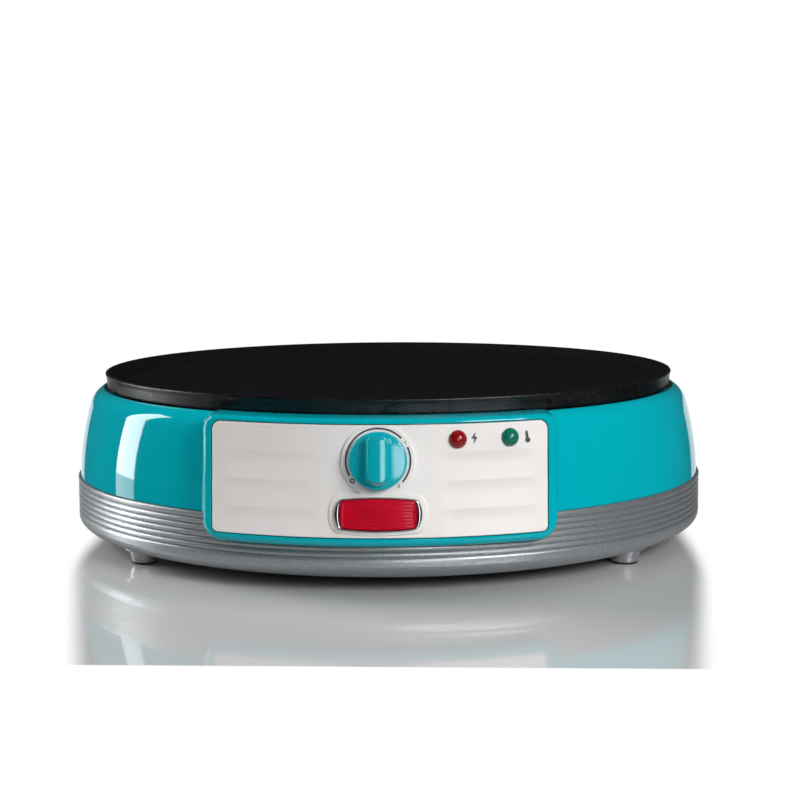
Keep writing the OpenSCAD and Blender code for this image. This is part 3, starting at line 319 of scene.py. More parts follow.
def finish_look(
    name,
    colour,
    other,
    rough,
    grain=90.0,
    rough_span=0.06,
    bump=0.02,
    bump_grain=900.0,
    bump_size=0.00002,
    stretch=(1, 1, 1),
    **sockets,
):
    """A material whose colour and roughness drift with noise, with a fine bump."""
    m, shader = shader_of(name)
    t = m.node_tree
    place = mapped(t, object_place(t), Scale=stretch)
    drift = noise(t, place, grain, 4.0)
    half_span = rough_span / 2
    dress(
        shader,
        Base_Color=tint(t, ramp(t, drift, 0.35, 0.65), colour, other),
        Roughness=ramp(t, drift, 0.3, 0.7, max(rough - half_span, 0.02), rough + half_span),
        Normal=relief(t, noise(t, place, bump_grain, 3.0), bump, bump_size),
        **sockets,
    )
    return m


def turned_look():
    """The worn coating on the plate's turned side: fine rings, speckles and bare marks."""
    m, shader = shader_of("turned_side")
    t = m.node_tree
    place = object_place(t)
    split = node(t, "ShaderNodeSeparateXYZ", {0: place}).outputs
    angle = maths(t, "ARCTAN2", split["X"], split["Y"])
    around = node(t, "ShaderNodeCombineXYZ", {"X": angle, "Z": split["Z"]}).outputs["Vector"]
    rings = noise(t, mapped(t, around, Scale=(26, 1, 1500)), 1.0, 3.0)
    specks = noise(t, place, 700.0, 4.0)
    clouds = noise(t, place, 55.0, 3.0)
    slanted = mapped(t, around, Rotation=(0, math.radians(0.9), 0), Scale=(38, 1, 260))
    marks = noise(t, slanted, 1.0, 5.0, Roughness=0.65)
    worn = maths(t, "MULTIPLY", rings, specks)
    polish = maths(t, "MULTIPLY_ADD", marks, 0.5, maths(t, "MULTIPLY", clouds, 0.5))
    dress(
        shader,
        Base_Color=tint(t, ramp(t, worn, 0.29, 0.42), screen(8, 8, 10), screen(34, 33, 36)),
        Roughness=ramp(t, polish, 0.4, 0.6, 0.24, 0.52),
        Normal=relief(t, worn, 0.8, 0.00012),
        Specular_IOR_Level=0.45,
    )
    return m


TEAL = finish_look(
    "teal_plastic",
    screen(0, 168, 181),
    screen(0, 165, 178),
    0.04,
    grain=40,
    rough_span=0.02,
    bump=0.03,
    bump_grain=160,
    bump_size=0.0001,
    Specular_IOR_Level=0.25,
)
KNOB_TEAL = finish_look(
    "teal_knob",
    screen(0, 168, 181),
    screen(0, 165, 178),
    0.13,
    grain=40,
    rough_span=0.04,
    bump=0.01,
    bump_grain=300,
)
SILVER = finish_look(
    "silver_paint",
    screen(168, 172, 175),
    screen(146, 150, 153),
    0.37,
    grain=1400,
    rough_span=0.1,
    bump=0.15,
    bump_grain=1800,
    bump_size=0.00004,
    Metallic=0.72,
)
FOOT_METAL = finish_look(
    "bright_feet",
    screen(184, 185, 188),
    screen(166, 167, 170),
    0.38,
    grain=1400,
    bump=0.1,
    bump_grain=1800,
    bump_size=0.00003,
    Metallic=0.9,
)
CREAM = finish_look(
    "cream_plastic",
    screen(232, 229, 227),
    screen(228, 224, 221),
    0.42,
    grain=30,
    bump=0.05,
    bump_grain=700,
    Specular_IOR_Level=0.25,
)
PRINT = finish_look("black_print", screen(26, 26, 28), screen(34, 34, 36), 0.5, grain=1500)
ICON_PRINT = finish_look("grey_print", screen(44, 46, 50), screen(54, 56, 60), 0.5, grain=1500)
NONSTICK = finish_look(
    "nonstick_coating",
    screen(20, 20, 22),
    screen(26, 26, 28),
    0.6,
    grain=420,
    rough_span=0.2,
    bump=0.3,
    bump_size=0.0001,
    Specular_IOR_Level=0.0,
)
PLATE_SIDE = turned_look()
CHROME = finish_look(
    "chrome", screen(165, 166, 170), screen(155, 156, 160), 0.2, grain=60, Metallic=1.0
)
RED = finish_look(
    "red_enamel",
    screen(196, 4, 38),
    screen(182, 2, 34),
    0.16,
    grain=120,
    Specular_IOR_Level=0.25,
)


def lens_look(name, colour, other):
    """A tinted lens of even gloss that lets a little light through."""
    return finish_look(
        name,
        colour,
        other,
        0.22,
        grain=150,
        rough_span=0.0,
        bump=0.0,
        IOR=1.5,
        Transmission_Weight=0.1,
    )


LENS_RED = lens_look("red_lens", screen(150, 2, 11), screen(138, 2, 10))
LENS_GREEN = lens_look("green_lens", screen(0, 120, 98), screen(0, 110, 90))
RUBBER = finish_look(
    "pad_rubber", screen(22, 22, 22), screen(30, 30, 30), 0.75, grain=300, bump=0.3
)
GLAND = finish_look(
    "gland_plastic",
    screen(24, 24, 25),
    screen(30, 30, 31),
    0.45,
    grain=200,
    bump=0.2,
    bump_grain=1200,
)
STEEL = finish_look(
    "zinc_steel",
    screen(196, 198, 202),
    screen(176, 178, 184),
    0.32,
    grain=260,
    rough_span=0.16,
    Metallic=1.0,
)
SHEET = finish_look(
    "aluminised_sheet",
    screen(186, 186, 186),
    screen(168, 168, 168),
    0.4,
    grain=120,
    rough_span=0.2,
    stretch=(1, 12, 1),
    Metallic=1.0,
)
SHEATH = finish_look(
    "element_sheath",
    screen(110, 100, 94),
    screen(84, 76, 84),
    0.45,
    grain=70,
    rough_span=0.2,
    Metallic=0.9,
)
BRASS = finish_look(
    "brass", screen(206, 172, 104), screen(188, 152, 84), 0.3, grain=200, Metallic=1.0
)
COPPER = finish_look(
    "copper", screen(200, 128, 92), screen(178, 106, 74), 0.3, grain=140, Metallic=1.0
)
MOULD = finish_look(
    "pale_moulding", screen(212, 203, 184), screen(202, 192, 172), 0.5, grain=150
)
GLASS = finish_look(
    "neon_glass",
    screen(240, 222, 205),
    screen(232, 210, 190),
    0.06,
    grain=200,
    Transmission_Weight=0.9,
)
WIRE_COLOURS = {
    "brown": (96, 56, 32),
    "black": (28, 28, 28),
    "blue": (40, 84, 160),
    "green": (120, 150, 40),
    "white": (222, 219, 210),
}
WIRES = {
    f"wire_{name}": finish_look(
        f"{name}_insulation", screen(*rgb), screen(*rgb, 0.85), 0.45, grain=350, bump=0.1
    )
    for name, rgb in WIRE_COLOURS.items()
}
SLOT_LOOKS = {
    "housing_teal": TEAL,
    "base_silver": SILVER,
    "panel_cream": CREAM,
    "print_black": PRINT,
    "plate_nonstick": NONSTICK,
    "shield_steel": SHEET,
    "element_sheath": SHEATH,
    "zinc_steel": STEEL,
    "brass_parts": BRASS,
    "copper": COPPER,
    "thermostat_mould": MOULD,
    "badge_red": RED,
    "badge_chrome": CHROME,
    "lens_red": LENS_RED,
    "lens_green": LENS_GREEN,
    "neon_glass": GLASS,
    "pad_rubber": RUBBER,
    "gland_black": GLAND,
    **WIRES,
}
slot_of = {row["node"]: row["material_slot"] for row in frame["record"]["subparts"]}
for node_name, cad_object in frame["nodes"].items():
    slot_look = SLOT_LOOKS[slot_of[node_name]]
    if not cad_object.material_slots:
        cad_object.data.materials.append(slot_look)
    for material_slot in cad_object.material_slots:
        material_slot.material = slot_look

# ---------- outlines in the front view ----------

# levels of the points along the upright sides, close together at the joint
LEVELS = [JOINT_Z - 0.01, JOINT_Z + 0.06] + steps(36.0, 73.5, 19)


def round_rect(half, z0, z1, r_up, r_low):
    """Closed outline of (x, z, normal x, normal z), anticlockwise from the middle of the bottom."""
    flat, corner = 32, 12

    def turn(cx, cz, r, a0):
        turns = [math.radians(a) for a in steps(a0, a0 + 90, corner)[:-1]]
        return [
            (cx + r * math.cos(t), cz + r * math.sin(t), math.cos(t), math.sin(t)) for t in turns
        ]

    right = [(x, z0, 0, -1) for x in steps(0, half - r_low, flat)[:-1]]
    right += turn(half - r_low, z0 + r_low, r_low, -90)
    right += [(half, z, 1, 0) for z in (z0 + r_low, *LEVELS)]
    right += turn(half - r_up, z1 - r_up, r_up, 0)
    right += [(x, z1, 0, 1) for x in steps(half - r_up, 0, flat)]
    return right + [(-x, z, -nx, nz) for x, z, nx, nz in right[-2:0:-1]]


def barrel(w, h, bulge_x, bulge_y, r, across=48, up=24, corner=6):
    """Closed outline of (x, z) of a rectangle with bulging sides and corners of radius r."""
    w, h = w - 2 * r, h - 2 * r
    side_r = (h * h / 4 + bulge_x**2) / (2 * bulge_x)
    cap_r = (w * w / 4 + bulge_y**2) / (2 * bulge_y)
    mid_x, mid_z = w / 2 - side_r, h / 2 - cap_r

    def right(z):
        return mid_x + math.sqrt(side_r**2 - z * z)

    def top(x):
        return mid_z + math.sqrt(cap_r**2 - x * x)

    # the corner, where the two curves meet
    cx = w / 2
    for _ in range(30):
        cx = right(top(cx))
    cz = top(cx)
    # one quarter, from the middle of the right side to the middle of the top
    quarter = []
    for z in steps(0.0, cz, up // 2):
        x = right(z)
        quarter.append((x + r * (x - mid_x) / side_r, z + r * z / side_r))
    a0 = math.degrees(math.asin(cz / side_r))
    a1 = 90 - math.degrees(math.asin(cx / cap_r))
    quarter += arc(cx, cz, r, a0, a1, corner)[1:-1]
    for x in steps(cx, 0.0, across // 2):
        z = top(x)
        quarter.append((x + r * x / cap_r, z + r * (z - mid_z) / cap_r))
    half = quarter[:-1] + [(-x, z) for x, z in reversed(quarter)]
    return half[:-1] + [(-x, -z) for x, z in half[:-1]]


# ---------- upper housing with its control box ----------


def housing():
    s = Shape()
    side = [(body_r(z), z) for z in steps(JOINT_Z + CHAMFER, TANGENT_Z, 28)]
    # the shoulder's arc ends in a small rounding at the well
    a0 = math.degrees(math.asin((TANGENT_Z - CORNER_Z) / CORNER_R))
    a1 = math.degrees(math.acos((WELL_R + WELL_ROUND - CORNER_X) / (CORNER_R - WELL_ROUND)))
    rise = (CORNER_R - WELL_ROUND) * math.sin(math.radians(a1))
    shoulder = arc(CORNER_X, CORNER_Z, CORNER_R, a0, a1, 16)[1:]
    well = arc(WELL_R + WELL_ROUND, CORNER_Z + rise, WELL_ROUND, a1, 180, 6)[1:]
    shelf = [(WELL_R, SHELF_Z + CHAMFER), (WELL_R - CHAMFER, SHELF_Z)]
    shelf += [(SHELF_R + CHAMFER, SHELF_Z), (SHELF_R, SHELF_Z - CHAMFER), (SHELF_R, SHELF_UNDER)]
    inner_r = SIDE_R - WALL
    inside = [
        (SIDE_X + math.sqrt(inner_r**2 - (z - SIDE_Z) ** 2), z)
        for z in steps(SHELF_UNDER, JOINT_Z, 12)
    ]
    foot_line = (body_r(JOINT_Z) - CHAMFER, JOINT_Z)
    s.spin([foot_line, *side, *shoulder, *well, *shelf, *inside, foot_line], 400)
    box(s)
    return s


def box(s):
    """The control box: recess, rounded frame, sides that run back into the body."""
    gap = PANEL_GAP
    inner = round_rect(
        PANEL_HALF + gap, PANEL_Z0 - gap, PANEL_Z1 + gap, PANEL_UP_R + gap, PANEL_LOW_R + gap
    )
    outer = round_rect(BOX_HALF, BOX_Z0, BOX_Z1, BOX_UP_R, BOX_LOW_R)
    s.rows(recess_rows(inner) + edge_rows(outer) + side_rows(outer), loop=True)


def recess_rows(inner):
    """The recess behind the panel, from the middle of its floor to the lip of its wall."""
    line = [(x, z) for x, z, _, _ in inner]
    rows = shrunk(line, PANEL_MID_Z, -PANEL_T - PANEL_BACK_GAP, (0.0, 0.25, 0.5, 0.75, 1.0))
    for a in steps(0.0, math.pi / 2, 4):
        out, sunk = LIP_R * (1 - math.cos(a)), LIP_R * (1 - math.sin(a))
        rows.append([on_cone(x + nx * out, z + nz * out, -sunk) for x, z, nx, nz in inner])
    return rows


def edge_rows(outer):
    """The edge round the frame, sharper along the top and fuller along the bottom."""
    rows = []
    for a in steps(0.0, math.pi / 2, 12):
        row = []
        for x, z, nx, nz in outer:
            r = EDGE_SIDE_R
            r += (EDGE_UP_R - EDGE_SIDE_R) * max(nz, 0.0)
            r += (EDGE_LOW_R - EDGE_SIDE_R) * max(-nz, 0.0)
            back, sunk = r * (1 - math.sin(a)), r * (1 - math.cos(a))
            row.append(on_cone(x - nx * back, z - nz * back, -sunk))
        rows.append(row)
    return rows


def side_corner(x, z, nx, nz):
    """Where a side of the box runs into the body at one point of the outline.

    Returns the start, the middle and the end of the soft inner corner and a point inside the body.
    """
    if z > SEAT_Z:
        r, y = 0.5, -math.sqrt(WELL_R**2 - x * x)
        return (x, y - r, z), (x, y, z), (x, y, z - r), (x, y - 0.3, z - 2.0)
    if z > JOINT_Z:
        # the corner widens downwards
        r = abs(nx) * (1.7 + 0.3 * smooth(72 - z, 0, 18) + smooth(54 - z, 0, 19)) + 0.1
        y = -math.sqrt(body_r(z) ** 2 - x * x)
        ex, ez = x + nx * r, min(z + nz * r, SEAT_Z)
        ey = -math.sqrt(body_r(ez) ** 2 - ex * ex)
        return (x, y - r, z), (x, y, z), (ex, ey, ez), (ex, ey + 1.2, ez - 0.1 * nz)
    y = -math.sqrt(BOX_IN_R**2 - x * x)
    return (x, y - 0.1, z), (x, y, z), (x, y, z), (x, y + 0.1, z)


def side_rows(outer):
    """The box's sides: a soft inner corner at the body and the end inside it."""
    corners = [side_corner(*point) for point in outer]
    rows = []
    for t in steps(0.0, 1.0, 8):
        weights = ((1 - t) ** 2, 2 * t * (1 - t), t * t)
        rows.append(
            [
                tuple(sum(w * p[k] for w, p in zip(weights, corner)) for k in range(3))
                for corner in corners
            ]
        )
    inside = [corner[3] for corner in corners]
    for t in (1.0, 0.75, 0.5, 0.25, 0.0):
        rows.append([(x * t, y, PANEL_MID_Z + (z - PANEL_MID_Z) * t) for x, y, z in inside])
    return rows


make("housing", housing(), TEAL, nodes=["upper_housing"], sharp=40)

# ---------- front panel ----------

# the hollows on each side of the dial, which start HOLLOW_DROP below the panel's top:
# how many, the height of each and of its steep slope
HOLLOWS, HOLLOW_PITCH, HOLLOW_FALL, HOLLOW_DROP = 3, 12.6, 4.4, 12.45
HOLLOW_A0, HOLLOW_A1 = 8.6, 25.2  # degrees from the middle
HOLLOW_DEEP, HOLLOW_SHALLOW = 0.6, 0.36  # depths on the right and on the left
# distances of the grid's outer lines from the panel's edge
NEAR_EDGE = (0.0, 0.03, 0.09, 0.17, 0.27, 0.38, 0.5)


def hollow_depth(x, z):
    """Depth of the shallow hollows beside the dial at a point of the panel."""
    a = math.degrees(math.asin(x / face_r(z)))
    down = PANEL_Z1 - HOLLOW_DROP - z
    if not 0 < down < HOLLOWS * HOLLOW_PITCH or not HOLLOW_A0 < abs(a) < HOLLOW_A1:
        return 0.0
    t = down % HOLLOW_PITCH
    # a steep slope below each edge that eases into the long slope out to the next one
    if t < HOLLOW_FALL:
        depth = 1.0 - (1.0 - t / HOLLOW_FALL) ** 1.6
    else:
        depth = 1.0 - ((t - HOLLOW_FALL) / (HOLLOW_PITCH - HOLLOW_FALL)) ** 1.35
    per_degree = face_r(z) * math.pi / 180
    start = smooth((abs(a) - HOLLOW_A0) * per_degree, 0.0, 9.0)
    end = smooth((HOLLOW_A1 - abs(a)) * per_degree, 0.0, 5.0 + 5.0 * (t / HOLLOW_PITCH))
    return (HOLLOW_DEEP if a > 0 else HOLLOW_SHALLOW) * depth * start * end


def edge_distance(x, z):
    """Distance of a point inside the panel's outline to it."""
    x = abs(x)
    upper = z > PANEL_MID_Z
    r = PANEL_UP_R if upper else PANEL_LOW_R
    cx = PANEL_HALF - r
    cz = PANEL_Z1 - r if upper else PANEL_Z0 + r
    if x > cx and (z > cz if upper else z < cz):
        return max(r - math.hypot(x - cx, z - cz), 0.0)
    return max(min(PANEL_HALF - x, PANEL_Z1 - z, z - PANEL_Z0), 0.0)


def panel_half(z):
    """Half the panel's width at level z."""
    half = PANEL_HALF
    for d, r in ((PANEL_Z1 - z, PANEL_UP_R), (z - PANEL_Z0, PANEL_LOW_R)):
        if d < r:
            half -= r - math.sqrt(max(r**2 - (r - d) ** 2, 0))
    return half


def grid_lines(low, high, n):
    """Places from low to high, close together near both ends."""
    middle = steps(low + NEAR_EDGE[-1], high - NEAR_EDGE[-1], n)[1:-1]
    return [low + d for d in NEAR_EDGE] + middle + [high - d for d in reversed(NEAR_EDGE)]


def panel_point(x, z):
    """A point of the panel's front, with its hollows and its rounded edge."""
    out = -hollow_depth(x, z)
    d = edge_distance(x, z)
    if d < PANEL_EDGE_R:
        out -= PANEL_EDGE_R - math.sqrt(PANEL_EDGE_R**2 - (PANEL_EDGE_R - d) ** 2)
    return on_cone(x, z, out)


def panel():
    s = Shape()
    rows = [
        [panel_point(x, z) for x in grid_lines(-panel_half(z), panel_half(z), 190)]
        for z in grid_lines(PANEL_Z0, PANEL_Z1, 130)
    ]
    s.rows(rows)
    # the rim of the grid goes back, then the back closes
    rim = rows[0][:-1] + [row[-1] for row in rows[:-1]]
    rim += rows[-1][:0:-1] + [row[0] for row in rows[:0:-1]]
    line = [(x, z) for x, _, z in rim]
    back = shrunk(line, PANEL_MID_Z, -PANEL_T, (1.0, 0.75, 0.5, 0.25, 0.0))
    s.rows([rim, *back], loop=True)
    dial(s)
    badge_surround(s)
    return s


def dial(s):
    """The raised disc behind the knob. Its upper end is cut level below the panel's edge."""
    sunk, flat_r = -1.6, DIAL_R - 3.6
    profile = [(0.0, sunk), (DIAL_R, sunk)]
    profile += arc(DIAL_R - DIAL_EDGE_R, DIAL_H - DIAL_EDGE_R, DIAL_EDGE_R, 0, 90, 6)
    profile += [(flat_r, DIAL_H), (0.0, DIAL_H)]
    top = PANEL_Z1 - 0.4

    def place(x, y, w):
        px, py, pz = on_face(0, KNOB_Z, (x, y, w))
        return (px, py, min(pz, top))

    s.spin(profile, 160, place)


def badge_surround(s):
    """The raised frame that the badge lies in."""
    w, h, bulge_x, bulge_y, corner_r = 44.6, 19.4, 1.2, 1.0, 5.0
    edge_in, edge_up = 1.1, SURROUND_TOP - SURROUND_EDGE
    levels = [(0.0, SURROUND_UNDER), (0.0, SURROUND_EDGE)]
    levels += [
        (edge_in * (1 - math.cos(a)), SURROUND_EDGE + edge_up * math.sin(a))
        for a in (0.3, 0.6, 0.9, 1.2, 1.57)
    ]
    levels += [(2.4, SURROUND_TOP), (3.2, 0.95), (5.0, SURROUND_SEAT)]
    outline = barrel(w, h, bulge_x, bulge_y, corner_r)
    rows = []
    for inset, out in levels:
        line = barrel(w - 2 * inset, h - 2 * inset, bulge_x, bulge_y, corner_r - 0.6 * inset)
        rows.append([on_cone(x, BADGE_Z + z, out) for x, z in line])
    seat = [(x, BADGE_Z + z) for x, z in line]
    s.rows(rows + shrunk(seat, BADGE_Z, SURROUND_SEAT, (0.6, 0.3, 0.0)), loop=True)
    # the underside is a little smaller than the outline
    share = 0.98
    under = [(x * share, BADGE_Z + z * share) for x, z in outline]
    back = shrunk(under, BADGE_Z, SURROUND_UNDER, (1.0, 0.6, 0.3, 0.0))
    s.rows([rows[0], *back], loop=True)


make("panel", panel(), CREAM, nodes=["front_panel"], sharp=50)

# ---------- dial print and signs ----------

INK = 0.1


def ink(s, outline, place):
    """A printed skin from a closed convex or star-shaped outline of (x, y)."""
    cx = sum(p[0] for p in outline) / len(outline)
    cy = sum(p[1] for p in outline) / len(outline)
    low = [place(x, y, 0.0) for x, y in outline]
    high = [place(x, y, INK) for x, y in outline]
    s.rows([low, high], loop=True)
    s.cap(high, place(cx, cy, INK))
    s.cap(low, place(cx, cy, 0.0))


def stroke(s, line, width, place):
    """A printed line of even width along points, with square ends."""
    rows = []
    for i, (x, y) in enumerate(line):
        ax, ay = line[max(i - 1, 0)]
        bx, by = line[min(i + 1, len(line) - 1)]
        d = math.hypot(bx - ax, by - ay)
        nx, ny = -(by - ay) / d * width / 2, (bx - ax) / d * width / 2
        left, right = (x + nx, y + ny), (x - nx, y - ny)
        rows.append([place(*left, 0), place(*left, INK), place(*right, INK), place(*right, 0)])
    base = s.rows(rows, loop=True)
    last = base + 4 * (len(line) - 1)
    s.faces.append((base, base + 1, base + 2, base + 3))
    s.faces.append((last, last + 1, last + 2, last + 3))


def dial_print():
    """The dial's two arcs, its off ring and the plain numbers of its two settings."""
    s = Shape()

    def place(x, y, w):
        return on_face(0, KNOB_Z, (x, y, DIAL_H + w))

    def polar(r, a):
        """a in degrees clockwise from the top"""
        return (r * math.sin(math.radians(a)), r * math.cos(math.radians(a)))

    for a0, a1 in ((-117, 46), (65, 131)):
        count = int((a1 - a0) / 2.5)
        stroke(s, [polar(ARC_R, a) for a in steps(a0, a1, count)], LINE_W, place)
    off_x, off_y = polar(ARC_R + 0.2, -128)
    stroke(s, arc(off_x, off_y, 0.85, 90, -270, 24), 0.55, place)
    one = [(-0.35, 0.35), (0.05, 0.7), (0.05, -0.7)]
    two = [(-0.4, 0.4), (-0.2, 0.68), (0.15, 0.7), (0.38, 0.42), (0.3, 0.1)]
    two += [(-0.4, -0.66), (0.45, -0.66)]
    for a, digit in ((56.5, one), (141, two)):
        cx, cy = polar(ARC_R + 0.1, a)
        stroke(s, [(cx + x, cy + y) for x, y in digit], 0.32, place)
    return s


make("dial_print", dial_print(), PRINT, nodes=["dial_marks"], sharp=30)


def sign_place(a, lean):
    """Places points of a sign at a degrees beside its lamp, leaning by lean degrees."""
    cx = on_face(a, LAMP_Z, (0, 0, 0))[0]
    c, s = math.cos(math.radians(lean)), math.sin(math.radians(lean))

    def place(x, z, w):
        return on_cone(cx + x * c - z * s, LAMP_Z + z * c + x * s, w)

    return place


def signs():
    """The bolt beside the power lamp and the thermometer beside the ready lamp."""
    s = Shape()
    bolt = sign_place(POWER_A + 2.6, 0)
    ink(s, [(0.55, 3.0), (-1.5, 0.0), (-0.1, 0.0), (0.4, 0.8)], bolt)
    ink(s, [(-0.1, 0.0), (-0.4, -2.5), (1.5, 0.8), (0.4, 0.8)], bolt)
    # the tube leans a little, its bulb is at the lower end
    thermometer = sign_place(READY_A + 2.9, 9)
    tube_r, tube_top, tube_low = 0.62, 1.9, -1.2
    tube = arc(0, tube_top, tube_r, 0, 180, 8) + [(-tube_r, tube_low), (tube_r, tube_low)]
    ink(s, tube, thermometer)
    ink(s, arc(0, -1.75, 1.2, 0, 360, 24)[:-1], thermometer)
    return s


make("signs", signs(), ICON_PRINT, nodes=["panel_icons"], sharp=30)

# ---------- badge ----------


def bezel():
    """The chrome frame: a rounded bar between a bulging outline and a straighter one."""
    s = Shape()
    outer = barrel(39.3, 15.2, 1.2, 0.9, 3.2)
    inner = barrel(34.7, 14.2, 0.6, 0.8, 1.5)
    rows = []
    for a in steps(0.0, math.pi, 10):
        t = (1 - math.cos(a)) / 2
        out = BEZEL_EDGE + (BEZEL_TOP - BEZEL_EDGE) * math.sin(a) ** 0.6
        row = []
        for (x0, z0), (x1, z1) in zip(outer, inner):
            row.append(on_cone(x0 + (x1 - x0) * t, BADGE_Z + z0 + (z1 - z0) * t, out))
        rows.append(row)
    for line in (inner, outer):
        rows.append([on_cone(x, BADGE_Z + z, BEZEL_UNDER) for x, z in line])
    s.rows(rows, loop=True, ring=True)
    return s


make("badge_frame", bezel(), CHROME, nodes=["badge_bezel"], sharp=60)


def badge():
    """The enamelled plate: fine ribs across the middle and a thin bead near each end."""
    s = Shape()
    w, h = 34.5, 14.0
    rib_pitch = h / 9.4
    full_inset = 6.9
    bead_in, bead_w, bead_h = 1.05, 0.26, 0.32
    line = barrel(w, h, 0.6, 0.8, 1.5, across=180, up=96, corner=12)

    def height(x, z, inset):
        end = w / 2 - abs(x)
        out = BADGE_TOP - 0.35 * (1 - smooth(inset, 0.0, 0.5))
        groove = 0.5 + 0.5 * math.cos(2 * math.pi * z / rib_pitch)
        ribbed = smooth(end, 1.4, 1.8) * smooth(inset, 0.3, 0.8)
        out -= 0.2 * ribbed * smooth(groove, 0.55, 1.0)
        bead = (end - bead_in) / bead_w
        return out + bead_h * math.exp(-bead * bead) * smooth(inset, 0.4, 0.9)

    # the outline shrinks towards a line along the middle
    rows = []
    for inset in (0.0, 0.08, 0.2, 0.35, *steps(0.5, full_inset, 50)):
        row = []
        for x, z in line:
            px, pz = x * (1 - 2 * inset / w), z * (1 - inset / full_inset)
            row.append(on_cone(px, BADGE_Z + pz, height(px, pz, inset)))
        rows.append(row)
    s.rows(rows, loop=True)
    under = [(x, BADGE_Z + z) for x, z in line]
    s.rows([rows[0], *shrunk(under, BADGE_Z, BADGE_UNDER, (1, 0.5, 0))], loop=True)
    return s


make("badge", badge(), RED, nodes=["badge_plate"], sharp=60)

# ---------- lamps ----------


def lens(a):
    """A domed lens with its stem through the panel, a degrees from the middle."""
    s = Shape()
    r, dome_h, brim_h = 4.1, 3.0, 0.6
    stem_r, stem_end, seat = 3.2, -6.5, 0.05
    dome_r = (r * r + dome_h * dome_h) / (2 * dome_h)
    top = brim_h + dome_h
    profile = [(0.0, stem_end), (stem_r, stem_end), (stem_r, seat)]
    profile += [(r - 0.15, seat), (r, 0.2), (r, brim_h + 0.02)]
    a0 = math.degrees(math.acos(min(r / dome_r, 1.0)))
    profile += arc(0, top - dome_r, dome_r, a0 + 3, 90, 18)[:-1]
    profile.append((0.0, top))
    s.spin(profile, 72, lambda x, y, w: on_face(a, LAMP_Z, (x, y, w)))
    return s


make("lens_power", lens(POWER_A), LENS_RED, nodes=["power_lens"], sharp=50)
make("lens_ready", lens(READY_A), LENS_GREEN, nodes=["ready_lens"], sharp=50)

# ---------- knob ----------


def knob():
    """The knob's disc with its grip."""
    s = Shape()
    low = DIAL_H + KNOB_GAP
    top = low + DISC_H
    hollow, foot_r, edge = 0.3, 0.25, KNOB_EDGE_R
    crown_r = KNOB_R - edge
    rim = top - dome(crown_r, 0)

    def place(x, y, w):
        return on_face(0, KNOB_Z, (x, y, w))

    profile = [(0.0, low + hollow), (KNOB_R - 2.0, low + hollow), (KNOB_R - 0.5, low)]
    profile += arc(KNOB_R - foot_r, low + foot_r, foot_r, -90, 0, 3)
    profile += [(KNOB_R - 0.02, low + 2.0)]
    profile += arc(crown_r, rim - edge, edge, 8, 82, 8)
    for t in steps(0.0, 1.0, 11)[1:]:
        r = crown_r * (1 - t)
        profile.append((r, top - dome(r, 0)))
    s.spin(profile, 128, place)
    grip(s, place, top)
    return s


def dome(x, y):
    """How far the disc's front falls back from its middle."""
    return (x * x + y * y) / (2 * DOME_R)


def long_outline(half, y0, y1, r_low, r_up):
    """Closed outline of (x, y) of an upright bar with rounded corners."""
    r_low, r_up = min(r_low, half), min(r_up, half)
    low, up = y0 + r_low, y1 - r_up
    right = arc(half - r_low, low, r_low, -90, 0, 10)
    right += [(half, y) for y in steps(low, up, 16)[1:-1]]
    right += arc(half - r_up, up, r_up, 0, 90, 10)
    return right + [(-x, y) for x, y in reversed(right)]


def grip(s, place, top):
    """The bar across the disc: steep flanks, a crowned front and a bevelled lower end."""
    foot, front, sunk = 5.5, 4.3, 1.6  # half widths at the disc and in front, depth in the disc
    low_y, up_y = -11.3, 11.9
    bevel, crown, edge_r, hollow_r = 1.8, 0.57, 0.6, 0.6
    shoulder = front + 0.25
    rows = []

    def level(half, y0, y1, r_low, r_up, height):
        outline = long_outline(half, y0, y1, r_low, r_up)
        rows.append([place(x, y, top + height(x, y)) for x, y in outline])

    def crowned(height):
        """A front at this height that falls off to both sides and towards the upper end."""
        return lambda x, y: height - crown * (x / front) ** 2 - 0.3 * smooth(y, 9, 11.5)

    level(foot + 0.4, low_y - 0.1, up_y, 5.0, 4.6, lambda x, y: -sunk)
    # a hollow rounding out of the disc
    for a in steps(0.0, math.pi / 2, 4):
        out = hollow_r * (1 - math.sin(a))
        up = hollow_r * (1 - math.cos(a)) - 0.02
        level(
            foot + out,
            low_y - 0.4 * out,
            up_y + 0.2 * out,
            4.8,
            4.5,
            lambda x, y: up - dome(x, y),
        )
    # the flanks
    for t in (0.35, 0.7, 1.0):
        level(
            foot + (shoulder - foot) * t,
            low_y + bevel * t,
            up_y - 0.1 * t,
            4.8 - t,
            4.5 - t,
            lambda x, y: (GRIP_H - crown - edge_r) * t + (0.58 - dome(x, y)) * (1 - t),
        )
    # the rounded edge round the front
    for a in steps(0.0, math.pi / 2, 5)[1:]:
        back = edge_r * (1 - math.cos(a))
        rise = GRIP_H - edge_r * (1 - math.sin(a))
        level(
            shoulder - back,
            low_y + bevel + back,
            up_y - 0.1 - back,
            3.8 - back,
            3.5 - back,
            crowned(rise),
        )
    # the front, closed to its middle
    for t in steps(0.0, 1.0, 10)[1:]:
        level(
            (shoulder - edge_r) * (1 - t),
            -9.0 + 3.0 * t,
            11.25 - 3.0 * t,
            3.2 * (1 - t) + 0.001,
            2.9 * (1 - t) + 0.001,
            crowned(GRIP_H),
        )
    s.rows(rows, loop=True)
    s.cap(rows[0], place(0, 0, top - sunk))


make("knob_grip", knob(), KNOB_TEAL, body=KNOB, nodes=["knob"], sharp=48)

# ---------- hot plate ----------


